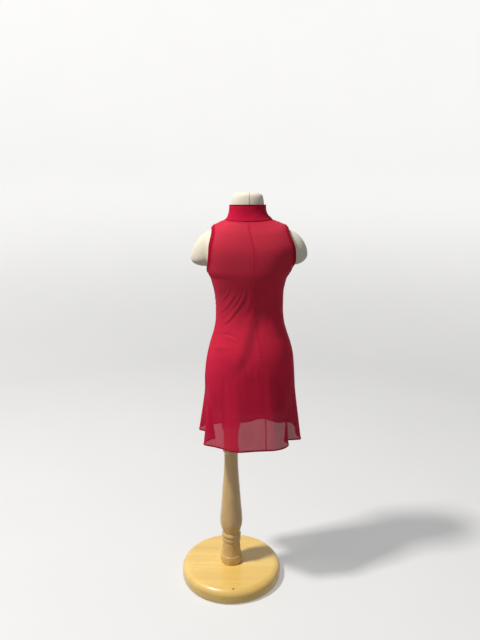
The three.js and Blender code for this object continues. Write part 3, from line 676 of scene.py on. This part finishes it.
def wood_material(name, grain_axis, pale, deep):
    """Varnished pale beech with its grain along one axis, short flecks and a few dark specks."""
    material, tree, shader = new_material(
        name, Roughness=0.38, Specular_IOR_Level=0.5, Coat_Weight=0.5, Coat_Roughness=0.16,
    )
    position = object_place(tree)

    def along_grain(scale):
        return stretched(tree, position, [scale if axis == grain_axis else 1.0 for axis in range(3)])

    grain_space = along_grain(0.07)
    broad = noise(tree, grain_space, 26.0, 3.0, 0.55)
    fine = noise(tree, grain_space, 210.0, 4.0, 0.65)
    flecks = noise(tree, along_grain(0.22), 620.0, 1.0, 0.4)
    cloudy = noise(tree, position, 5.5, 3.0)
    specks = noise(tree, position, 85.0, 0.0)
    colour = mix_colour(tree, map_range(tree, broad, 0.32, 0.68, 0.0, 1.0), pale, deep)
    colour = mix_colour(tree, map_range(tree, fine, 0.45, 0.7, 0.0, 0.4), colour, deep)
    warmer = tuple(c * k for c, k in zip(pale, (0.86, 0.76, 0.55, 1.0)))
    colour = mix_colour(tree, map_range(tree, cloudy, 0.4, 0.72, 0.0, 0.55), colour, warmer)
    dark = tuple(c * 0.55 for c in deep[:3]) + (1,)
    colour = mix_colour(tree, map_range(tree, flecks, 0.64, 0.76, 0.0, 0.45), colour, dark)
    colour = mix_colour(tree, map_range(tree, specks, 0.845, 0.87, 0.0, 0.8), colour, (0.12, 0.06, 0.02, 1))
    roughness = map_range(tree, cloudy, 0.3, 0.7, 0.32, 0.46)
    connect(tree, shader, Base_Color=colour, Roughness=roughness, Normal=bump(tree, fine, 0.12, 0.0004))
    return material


MESH = mesh_cloth_material("red_mesh", 0.95, 0.86, 0.12, (
    (0.60, 0.010, 0.048, 1), (0.68, 0.013, 0.056, 1), (0.46, 0.004, 0.028, 1)))
MESH_COLLAR = mesh_cloth_material("red_mesh_collar", 0.995, 0.98, 0.05, (
    (0.54, 0.009, 0.044, 1), (0.60, 0.011, 0.050, 1), (0.42, 0.005, 0.030, 1)))
# Armhole bindings and neck seam: a darker red, partly for the doubled cloth and partly as painted shade.
MESH_BAND_SHADE = mesh_cloth_material("red_mesh_band_painted_shade", 0.995, 0.98, 0.05, (
    (0.36, 0.003, 0.024, 1), (0.42, 0.004, 0.029, 1), (0.28, 0.002, 0.016, 1)))
# The turned hem and the seam allowances: a darker red as painted shade.
MESH_TURNED_SHADE = mesh_cloth_material("red_mesh_turned_painted_shade", 0.985, 0.98, 0.05, (
    (0.40, 0.006, 0.030, 1), (0.46, 0.008, 0.034, 1), (0.32, 0.004, 0.020, 1)))
# The collar's top fold: a near-black red as painted shade.
MESH_EDGE_SHADE = mesh_cloth_material("red_mesh_edge_painted_shade", 0.995, 0.99, 0.03, (
    (0.22, 0.001, 0.012, 1), (0.27, 0.002, 0.015, 1), (0.18, 0.001, 0.009, 1)))
THREAD = thread_material()
JERSEY = jersey_material("cream_jersey", 1.0)
# A darker copy of the jersey, used as painted shade in the seam's grooves.
JERSEY_SHADE = jersey_material("cream_jersey_groove_shade", 0.45)
POLE_WOOD = wood_material("pale_wood_turned", 2, (0.70, 0.47, 0.19, 1), (0.52, 0.32, 0.105, 1))
BASE_WOOD = wood_material("pale_wood_board", 0, (0.90, 0.63, 0.18, 1), (0.76, 0.49, 0.12, 1))


# ----- Dress panels, seams and hem -----
# Rows from the neck seam to the hem, closest at both ends of the armhole.
ARMHOLE_TURN = (1 - np.cos(np.linspace(0, np.pi, 48, endpoint=False))) / 2
PANEL_ROWS = np.concatenate([
    np.linspace(0, SHOULDER_ROW, 16, endpoint=False),
    SHOULDER_ROW + (UNDERARM_ROW - SHOULDER_ROW) * ARMHOLE_TURN,
    np.linspace(UNDERARM_ROW, HIP_ROW, 230, endpoint=False),
    np.linspace(HIP_ROW, HEM_ROW, 84),
])
PANELS = [dict(zip(("name", "node", "start", "end", "columns"), row)) for row in (
    ("front_cloth", "front_panel", side_line(0.5, ARMHOLE_FRONT), side_line(1.0, -ARMHOLE_FRONT), 170),
    ("back_cloth_left", "back_panel_left", centre_seam, side_line(0.5, -ARMHOLE_BACK), 170),
    ("back_cloth_right", "back_panel_right", side_line(0.0, ARMHOLE_BACK), centre_seam, 110),
)]
HEM_DEPTH = 3.6  # the turned hem's inner layer
HEM_ROLL = 0.6  # half the hem's thickness
HEM_WAVER_FROM = 2  # the turned edge wavers above this height
HEM_STITCH_HEIGHT = 4.0  # above the hem's edge
SEAM_WIDTH = 7.0
CENTRE_SEAM_WIDTH = 2.6
SEAM_LIFT = -0.8  # the seam allowances lie inside the cloth
SHOULDER_SEAM_LIFT = -0.7
NECK_SEAM_SECTION = ((0.0, 0.2), (0.0, 1.0), (0.035, 1.25), (0.075, 0.9), (0.1, 0.1))  # (u, lift)


def panel_piece(panel):
    u = PANEL_ROWS[:, None]
    k = np.linspace(0, 1, panel["columns"])[None, :]
    start, end = panel["start"](u), panel["end"](u)
    return cloth_mesh(panel["name"], cloth(start + (end - start) * k, u)[0], MESH, panel["node"])


def hem_piece(panel):
    """The narrow turned hem of one panel: rolled under the edge and up inside."""
    share = np.linspace(panel["start"](HEM_ROW), panel["end"](HEM_ROW), panel["columns"])
    skirt_height = HIP_Z - HEM_Z
    profile = [(HEM_DEPTH, 0.35), (HEM_DEPTH * 0.5, HEM_ROLL * 0.9), (0.8, HEM_ROLL)]
    profile += [(-HEM_ROLL * math.sin(a), HEM_ROLL * math.cos(a)) for a in np.linspace(0.4, math.pi - 0.4, 5)]
    profile += [(0.8, -HEM_ROLL), (HEM_DEPTH * 0.5, -HEM_ROLL), (HEM_DEPTH, -0.5)]
    rows = []
    for rise, lift in profile:
        waver = 0.12 * np.sin(share * 400) + 0.1 * np.sin(share * 173 + 1)
        u = np.full_like(share, HEM_ROW - max(rise, 0) / skirt_height)
        points = cloth(share, u, lift + waver * (1 if rise > HEM_WAVER_FROM else 0))[0]
        points[:, 2] += min(rise, 0)
        rows.append(points)
    return cloth_mesh(panel["name"].replace("cloth", "hem"), np.array(rows), MESH_TURNED_SHADE)


def ribbon_piece(name, share_at, u_rows, width, lift):
    """A seam allowance: a strip under the cloth along a line of shares."""
    columns = np.linspace(-0.5, 0.5, 5)[None, :]
    u = np.asarray(u_rows, float)[:, None]
    middle = share_at(u)
    share = middle + share_for(width, middle, u) * columns
    return cloth_mesh(name, cloth(share, u, lift)[0], MESH_TURNED_SHADE)


NECK_STITCH_ROW = 0.16
STITCH_PITCH = 3.4
STITCH_LENGTH = 2.5
STITCH_RADIUS = 0.28


def stitch_faces(path, normals, faces, points):
    """One small thread loop, a bent four-sided bar from the path's first to its last point."""
    base = len(points)
    bulge = (0.15, 1.0, 1.0, 0.15)
    for k, p in enumerate(path):
        tangent = path[min(k + 1, 3)] - path[max(k - 1, 0)]
        tangent = tangent / np.linalg.norm(tangent)
        side = np.cross(normals[k], tangent)
        for a, b in ((1, 0), (0, 1), (-1, 0), (0, -1)):
            points.append(p + STITCH_RADIUS * (side * a + normals[k] * (b + bulge[k] - 0.4)))
    for k in range(3):
        for i in range(4):
            a, b = base + 4 * k + i, base + 4 * k + (i + 1) % 4
            faces.append((a, b, b + 4, a + 4))
    faces.append((base, base + 1, base + 2, base + 3)[::-1])
    faces.append((base + 12, base + 13, base + 14, base + 15))


def stitch_row(line, normals, faces, points):
    """Stitches at an even pitch along a line of points."""
    steps = np.linalg.norm(np.diff(line, axis=0), axis=1)
    travelled = np.concatenate([[0], np.cumsum(steps)])
    at = 0.5 * STITCH_PITCH
    while at + STITCH_LENGTH < travelled[-1]:
        spots = at + STITCH_LENGTH * np.linspace(0, 1, 4)
        path, ups = (np.stack([np.interp(spots, travelled, values[:, i]) for i in range(3)], -1)
                     for values in (line, normals))
        ups /= np.linalg.norm(ups, axis=1, keepdims=True)
        stitch_faces(path, ups, faces, points)
        at += STITCH_PITCH


def around_line(u, lift, count=700):
    share = np.linspace(0, 1, count)
    return cloth(share, np.full_like(share, u), lift)


def upright_line(share_at, first_row):
    """A line along a seam, down to just above the hem."""
    u = np.linspace(first_row, HEM_ROW - 0.03, 360)
    return cloth(share_at(u), u, 0.1)


# ----- Armhole bands -----
BAND_WIDTH = 11.5
BAND_THICKNESS = 0.75


def band_place(side_share, angle, factor):
    """Share and row at an angle round an armhole, moved out from its edge by a factor."""
    is_left = side_share > 0.25
    middle = (SHOULDER_ROW + UNDERARM_ROW) / 2
    half = (UNDERARM_ROW - SHOULDER_ROW) / 2
    c, s = np.cos(angle), np.sin(angle)
    cut = np.where(c > 0, ARMHOLE_BACK, ARMHOLE_FRONT) * np.abs(c) ** (2 / ARMHOLE_POWER) * factor
    towards = np.where((c > 0) == is_left, -cut, cut)
    return side_share + towards, middle - half * signed_power(s, 2 / ARMHOLE_POWER) * factor


def band_rows(side_share, profile, count):
    """Rows round an armhole, each a distance from its edge and a lift off the cloth."""
    angle = np.linspace(0, 2 * np.pi, count, endpoint=False)
    edge = plain_dress(*band_place(side_share, angle, 1.0))
    probe = 1.08
    moved = np.linalg.norm(plain_dress(*band_place(side_share, angle, probe)) - edge, axis=1)
    per_factor = moved / (probe - 1)
    rows, normals = [], []
    for distance, lift in profile:
        share, u = band_place(side_share, angle, 1 + distance / per_factor)
        points, normal = cloth(share, u, lift)
        rows.append(points)
        normals.append(normal)
    return np.array(rows), np.array(normals)


def band_piece(name, node, side_share):
    t = BAND_THICKNESS
    profile = [(BAND_WIDTH + 0.6, 0.3), (BAND_WIDTH, t), (BAND_WIDTH - 1.6, t * 1.25), (BAND_WIDTH - 3.2, t)]
    profile += [(BAND_WIDTH * 0.4, t * 1.05), (1.2, t * 1.2)]
    profile += [(0.3 - 0.9 * math.sin(a), t * 1.1 * math.cos(a)) for a in np.linspace(0.5, math.pi - 0.5, 5)]
    profile += [(1.2, -t), (BAND_WIDTH * 0.5, -t * 0.9), (BAND_WIDTH, -t * 0.8)]
    rows = band_rows(side_share, profile, 220)[0]
    return cloth_mesh(name, np.concatenate([rows, rows[:, :1]], 1), MESH_BAND_SHADE, node)


# ----- Collar -----
COLLAR_HALF = 0.95
COLLAR_COUNT = 200


def collar_surface(share, u):
    return ring_points(COLLAR_ROWS, share, COLLAR_LAST - u)


def collar_slump(share, height):
    """The collar's uneven stand: soft waves, and a small bulge over the right shoulder."""
    waves = 0.16 * np.sin(share * 2 * np.pi * 5 + 1.2) * np.sin(height * 1.9 + 0.4)
    waves += 0.1 * np.sin(share * 2 * np.pi * 9 + 3 * height)
    wrapped = (share + 0.5) % 1 - 0.5
    bulge = 2.0 * np.exp(-((wrapped / 0.035) ** 2)) * np.exp(-(((height - 0.35) / 0.5) ** 2))
    return waves * smooth_step(height / 0.8) * smooth_step((4 - height) / 0.6) + bulge


def collar_grid(rows, slumps):
    """Rings of the collar from rows of (height, lift off the middle, rise above the top)."""
    share = np.linspace(0, 1, COLLAR_COUNT + 1)
    grid = []
    for height, lift, rise in rows:
        u = np.full_like(share, COLLAR_LAST - height)
        slump = collar_slump(share, height) if slumps and height < COLLAR_LAST else 0 * share
        points = collar_surface(share, u)
        points = points + normals_of(collar_surface, share, u, COLLAR_LAST) * (lift + slump)[:, None]
        points[:, 2] += rise
        grid.append(points)
    return np.array(grid)


def collar_fold(half, start, count):
    """The rows that bend over the collar's top."""
    return [(COLLAR_LAST, half * math.cos(a), half * math.sin(a))
            for a in np.linspace(start, math.pi - start, count)]


def collar_piece():
    """The band folded double: outside up from the seam, over the fold and down inside."""
    rows = []
    stretches = ((0, 0.25, 5), (0.32, 3.45, 20), (3.5, 4.0, 9))
    for height in np.concatenate([np.linspace(*stretch) for stretch in stretches]):
        tuck = -0.9 * math.exp(-((height / 0.09) ** 2))
        groove = -0.55 * math.exp(-(((height - 3.62) / 0.07) ** 2))
        rows.append((height, COLLAR_HALF + tuck + groove, 0))
    rows += collar_fold(COLLAR_HALF, 0.5, 5) + [(h, -COLLAR_HALF, 0) for h in np.linspace(4.0, 0.1, 16)]
    return cloth_mesh("collar_cloth", collar_grid(rows, True), MESH_COLLAR, "collar")


def collar_edge_piece():
    """The pressed fold along the collar's top, in a near-black red as painted shade along the top edge."""
    out = COLLAR_HALF + 0.16
    rows = [(3.87, COLLAR_HALF - 0.1, 0), (3.88, out, 0), (3.99, out, 0)] + collar_fold(out, 0.3, 6)
    rows += [(3.99, -out, 0), (3.88, -out, 0)]
    return cloth_mesh("collar_fold", collar_grid(rows, False), MESH_EDGE_SHADE)


# ----- Dress form -----
FORM_SEGMENTS = 120
FORM_VOXEL = 0.0035  # metres


def loft(rings):
    """A closed body through rings of points, capped with a fan at both ends."""
    count = len(rings[0])
    points = [tuple(p * MM) for ring in rings for p in ring]
    faces = grid_faces(len(rings), count, closed_columns=True)
    for j in (0, len(rings) - 1):
        points.append(tuple(rings[j].mean(0) * MM))
        for i in range(count):
            faces.append((j * count + i, j * count + (i + 1) % count, len(points) - 1))
    mesh = bpy.data.meshes.new("loft")
    mesh.from_pydata(points, [], faces)
    return mesh


def turned_outwards(name, bodies):
    """One mesh of closed bodies, with all faces looking out."""
    joined = bmesh.new()
    for body in bodies:
        joined.from_mesh(body)
        bpy.data.meshes.remove(body)
    bmesh.ops.recalc_face_normals(joined, faces=joined.faces)
    mesh = bpy.data.meshes.new(name)
    joined.to_mesh(mesh)
    joined.free()
    return mesh


def torso_rings():
    share = np.linspace(0, 1, FORM_SEGMENTS, endpoint=False)

    def untwisted(share, u):
        return ring_points(DRESS_ROWS, share, u, twisted=False) + flare_shift(share, u)

    rings = [ring_points(FORM_NECK, share, np.full_like(share, u)) for u in np.linspace(0, 6, 25)]
    for u in np.linspace(0, FORM_LAST_CLOTH_ROW, 61):
        rows = np.full_like(share, u)
        rings.append(untwisted(share, rows) - normals_of(untwisted, share, rows, HIP_ROW) * FORM_INSET)
    return rings + [ring_points(FORM_HIPS, share, np.full_like(share, u)) for u in np.linspace(0, 8, 41)]


def cap_rings(cap):
    rings = []
    angle = np.linspace(0, 2 * np.pi, 64, endpoint=False)
    c, s = np.cos(angle), np.sin(angle)
    power = np.where(s > 0, 1.0, 2 / cap["under"])
    for k in np.linspace(0, 0.995, 30):
        reach = math.sin(math.pi / 2 * k)
        size = (1 - reach ** CAP_ROUNDNESS) ** (1 / CAP_ROUNDNESS)
        tall = np.where(s > 0, cap["up"], cap["down"])
        rings.append(np.stack([
            np.full_like(angle, CAP_X + cap["side"] * (CAP_OUT + cap["reach"] * reach)),
            CAP_Y + CAP_DEPTH * size * signed_power(c, power),
            cap["z"] - cap["drop"] * reach + tall * size * signed_power(s, power),
        ], -1))
    root = rings[0].copy()
    root[:, 0] -= cap["side"] * CAP_ROOT
    root[:, 1] *= CAP_ROOT_DEPTH
    root[:, 2] = cap["z"] + (root[:, 2] - cap["z"]) * CAP_ROOT_DEPTH
    return [root] + rings


def form_piece():
    """Torso and shoulder caps joined into one even skin by the voxel remesh."""
    bodies = [loft(torso_rings())] + [loft(cap_rings(cap)) for cap in CAPS]
    work = bpy.data.objects.new("work", turned_outwards("form_bodies", bodies))
    bpy.context.scene.collection.objects.link(work)
    remesh = work.modifiers.new("remesh", "REMESH")
    remesh.mode = "VOXEL"
    remesh.voxel_size = FORM_VOXEL
    smooth = work.modifiers.new("smooth", "SMOOTH")
    smooth.factor = 0.5
    smooth.iterations = 5
    graph = bpy.context.evaluated_depsgraph_get()
    skin = bpy.data.meshes.new_from_object(work.evaluated_get(graph))
    bpy.data.objects.remove(work)
    skin.name = "form_cover"
    skin.materials.clear()
    skin.materials.append(JERSEY)
    return add_piece("form_cover", skin, "cream_jersey", "dress_form")


TAPE_X = ((560, 54), (720, 55), (850, 53), (960, 51), (1090, 48.5), (1128, 48))
NECK_TURN_Z = 1128  # where the seam starts to bend over the neck
RAY_START = 200  # well outside the form
TAPE_SECTION = ((-3.7, -0.5), (-3.3, 0.35), (-2.6, 0.6), (0, 0.75), (2.6, 0.6), (3.3, 0.35), (3.7, -0.5))
GROOVE_SECTION = ((-0.45, -0.3), (-0.3, 0.42), (0.3, 0.42), (0.45, -0.3))


def form_lines(tree, aside):
    """Where a line up the cover's centre back, over the neck and down the front meets it."""
    heights, middles = zip(*TAPE_X)

    def beside(z):
        return np.interp(z, heights, middles) + aside

    rays = [((beside(z), -RAY_START, z), (0, 1, 0)) for z in np.linspace(660, NECK_TURN_Z, 180)]
    for angle in np.radians(np.linspace(-88, 88, 60)):
        c, s = math.cos(angle), math.sin(angle)
        rays.append(((beside(NECK_TURN_Z), 3 + RAY_START * s, NECK_TURN_Z + RAY_START * c), (0, -s, -c)))
    rays += [((beside(z), RAY_START, z), (0, -1, 0)) for z in np.linspace(1110, 556, 200)]
    hits = [tree.ray_cast(Vector(origin) * MM, Vector(way)) for origin, way in rays]
    hits = [hit for hit in hits if hit[0] is not None]
    return np.array([hit[0][:] for hit in hits]) / MM, np.array([hit[1][:] for hit in hits])


def form_seam_pieces(form):
    """The cover's flat seam: a narrow raised tape between two stitched grooves, the grooves in a darker copy
    of the jersey as painted shade.
    """
    vertices = [v.co[:] for v in form.data.vertices]
    tree = BVHTree.FromPolygons(vertices, [p.vertices[:] for p in form.data.polygons])
    points, faces = [], []
    ridge(*form_lines(tree, 0.0), TAPE_SECTION, faces, points)
    tape = add_mesh("form_seam_tape", points, faces, JERSEY, "cream_jersey")
    points, faces = [], []
    for aside in (-3.5, 3.5):
        ridge(*form_lines(tree, aside), GROOVE_SECTION, faces, points)
    return tape, add_mesh("form_seam_grooves", points, faces, JERSEY_SHADE, "cream_jersey")


def ridge(line, normals, section, faces, points):
    """A low strip along a line on a surface: its section holds (aside, height) pairs."""
    base = len(points)
    tangents = np.gradient(line, axis=0)
    tangents /= np.linalg.norm(tangents, axis=1, keepdims=True)
    for p, n, t in zip(line, normals, tangents):
        side = np.cross(n, t)
        points.extend(p + side * a + n * b for a, b in section)
    for face in grid_faces(len(line), len(section)):
        faces.append(tuple(base + i for i in face))


# ----- Turned wood -----
def circles(outline, angle):
    """Points round the pole's axis for each (radius, z) of an outline."""
    return np.array([np.stack([r * np.cos(angle), r * np.sin(angle), np.full_like(angle, z)], -1)
                     for r, z in outline])


def lathe_piece(name, node, outline, segments, material):
    """A turned body from an array of (radius, z), closed on the axis at both ends."""
    angle = np.linspace(0, 2 * np.pi, segments, endpoint=False)
    mesh = turned_outwards(name, [loft(circles(outline, angle))])
    mesh.materials.append(material)
    return add_piece(name, mesh, "pale_wood", node)


def smooth_outline(rows, steps):
    u = np.linspace(0, len(rows["z"]) - 1, (len(rows["z"]) - 1) * steps + 1)
    outline = np.stack([smooth_value(rows["radius"], u), smooth_value(rows["z"], u)], -1)
    low = outline[0] - [1.0, 0]
    high = outline[-1] - [1.0, 0]
    return np.concatenate([[low * [0.5, 1]], [low], outline, [high], [high * [0.5, 1]]])


def base_outline():
    def arc(centre_z, round_radius, start, end, steps):
        a = np.radians(np.linspace(start, end, steps))
        radius = BASE_RADIUS - round_radius + round_radius * np.cos(a)
        return np.stack([radius, centre_z + round_radius * np.sin(a)], -1)

    foot = arc(BASE_FOOT_ROUND, BASE_FOOT_ROUND, -90, 0, 10)
    top = arc(BASE_HEIGHT - BASE_TOP_ROUND, BASE_TOP_ROUND, 0, 90, 20)
    flat_radii = np.linspace(BASE_RADIUS - BASE_TOP_ROUND - 1, 20, 12)
    under = np.stack([flat_radii[::-1], np.zeros(12)], -1)
    over = np.stack([flat_radii, np.full(12, BASE_HEIGHT)], -1)
    return np.concatenate([under, foot, top, over])


# ----- Making the pieces -----
def build_dress():
    hems, panels = {}, {}
    for panel in PANELS:
        panels[panel["name"]] = panel_piece(panel)
        hems[panel["name"]] = hem_piece(panel)
    body_rows = np.linspace(UNDERARM_ROW + 0.02, HEM_ROW, 260)
    back_rows = np.linspace(0.02, HEM_ROW, 330)
    shoulder_rows = np.linspace(0.02, SHOULDER_ROW - 0.06, 30)
    centre = ribbon_piece("centre_back_seam", centre_seam, back_rows, CENTRE_SEAM_WIDTH, SEAM_LIFT)
    seams = [ribbon_piece(side + kind, line, rows, SEAM_WIDTH, lift)
             for kind, rows, lift in (("_side_seam", body_rows, SEAM_LIFT),
                                      ("_shoulder_seam", shoulder_rows, SHOULDER_SEAM_LIFT))
             for side, line in (("left", left_side), ("right", right_side))]
    neck_rows = np.array([around_line(u, lift, 260)[0] for u, lift in NECK_SEAM_SECTION])
    neck = cloth_mesh("neck_seam", neck_rows, MESH_BAND_SHADE)
    collar = collar_piece()
    collar_edge = collar_edge_piece()
    bands = [band_piece("armhole_binding_left", "armhole_band_left", 0.5),
             band_piece("armhole_binding_right", "armhole_band_right", 0.0)]
    lines = [around_line(HEM_ROW - HEM_STITCH_HEIGHT / (HIP_Z - HEM_Z), HEM_ROLL + 0.1),
             around_line(NECK_STITCH_ROW, 0.15),
             upright_line(left_side, UNDERARM_ROW + 0.1), upright_line(right_side, UNDERARM_ROW + 0.1),
             upright_line(centre_seam, 0.1)]
    for side_share in (0.5, 0.0):
        rows, normals = band_rows(side_share, [(BAND_WIDTH - 1.6, BAND_THICKNESS * 1.3)], 400)
        lines.append((np.concatenate([rows[0], rows[0][:1]]), np.concatenate([normals[0], normals[0][:1]])))
    faces, points = [], []
    for line, normals in lines:
        stitch_row(line, normals, faces, points)
    stitching = add_mesh("stitching", points, faces, THREAD, "red_mesh")


def build_stand():
    lathe_piece("knob_wood", "stand_knob", smooth_outline(KNOB_OUTLINE, 8), 72, POLE_WOOD)
    lathe_piece("pole_wood", "stand_pole", smooth_outline(POLE_OUTLINE, 7), 72, POLE_WOOD)
    lathe_piece("base_wood", "stand_base", base_outline(), 160, BASE_WOOD)


FLOOR_RADIUS = 2300
WALL_CURVE = 1300
WALL_TOP = 4500


def build_stage():
    """A round pale floor that curves up into a wall on every side. The floor gives no bounce,
    so the shade side stays as deep as in a room."""
    material, tree, shader = new_material(
        "pale_floor", Roughness=0.9, Specular_IOR_Level=0.0, Emission_Color=(1.0, 1.0, 1.0, 1.0),
    )
    position = object_place(tree)
    mottle = noise(tree, position, 3.0, 2.0)
    height = add_node(tree, "ShaderNodeSeparateXYZ", {0: position}).outputs[2]
    connect(tree, shader,
            Base_Color=mix_colour(tree, mottle, (0.51, 0.51, 0.51, 1), (0.54, 0.54, 0.535, 1)),
            Emission_Strength=map_range(tree, height, 0.0, 1.2, 0.30, 0.56, smooth=True))
    profile = [(r, 0.0) for r in (5, 600, 1200, 1800, FLOOR_RADIUS)]
    for a in np.linspace(0.08, math.pi / 2, 18):
        profile.append((FLOOR_RADIUS + WALL_CURVE * math.sin(a), WALL_CURVE - WALL_CURVE * math.cos(a)))
    profile.append((FLOOR_RADIUS + WALL_CURVE, WALL_TOP))
    rows = circles(profile, np.linspace(0, 2 * np.pi, 97))
    floor = add_mesh("floor", rows, [f[::-1] for f in grid_faces(*rows.shape[:2])], material, None)
    floor.visible_diffuse = False


KEY_LIGHT_PLACE = (-2.33, -0.98, 4.9)
KEY_LIGHT_AIM = (0.05, 0.0, 0.6)
KEY_LIGHT_SIZE = 0.5
KEY_LIGHT_POWER = 270
ROOM_LIGHT = 0.27


def build_lights():
    light = bpy.data.lights.new("key", "AREA")
    light.shape = "SQUARE"
    light.size = KEY_LIGHT_SIZE
    light.energy = KEY_LIGHT_POWER
    light.color = (1.0, 0.98, 0.95)
    lamp = bpy.data.objects.new("key", light)
    lamp.location = KEY_LIGHT_PLACE
    way = Vector(KEY_LIGHT_AIM) - Vector(KEY_LIGHT_PLACE)
    lamp.rotation_euler = way.to_track_quat("-Z", "Y").to_euler()
    bpy.context.scene.collection.objects.link(lamp)
    world = bpy.data.worlds.new("studio")
    world.use_nodes = True
    background = world.node_tree.nodes["Background"]
    background.inputs["Color"].default_value = (1.0, 1.0, 1.0, 1.0)
    background.inputs["Strength"].default_value = ROOM_LIGHT
    bpy.context.scene.world = world


CAMERA_PLACE = (0.0264, -1.642, 1.184)
CAMERA_PITCH = 13.0  # degrees down
CAMERA_LENS = 33.75  # for a 36 mm long side


def build_camera():
    camera = bpy.data.cameras.new("camera")
    camera.sensor_width = 36.0
    camera.lens = CAMERA_LENS
    eye = bpy.data.objects.new("camera", camera)
    eye.location = CAMERA_PLACE
    eye.rotation_euler = (math.radians(90 - CAMERA_PITCH), 0.0, 0.0)
    bpy.context.scene.collection.objects.link(eye)
    bpy.context.scene.camera = eye
    bpy.context.scene.view_settings.view_transform = "Standard"


build_camera()
build_stage()
build_lights()
build_dress()
form = form_piece()
form_seam_pieces(form)
build_stand()
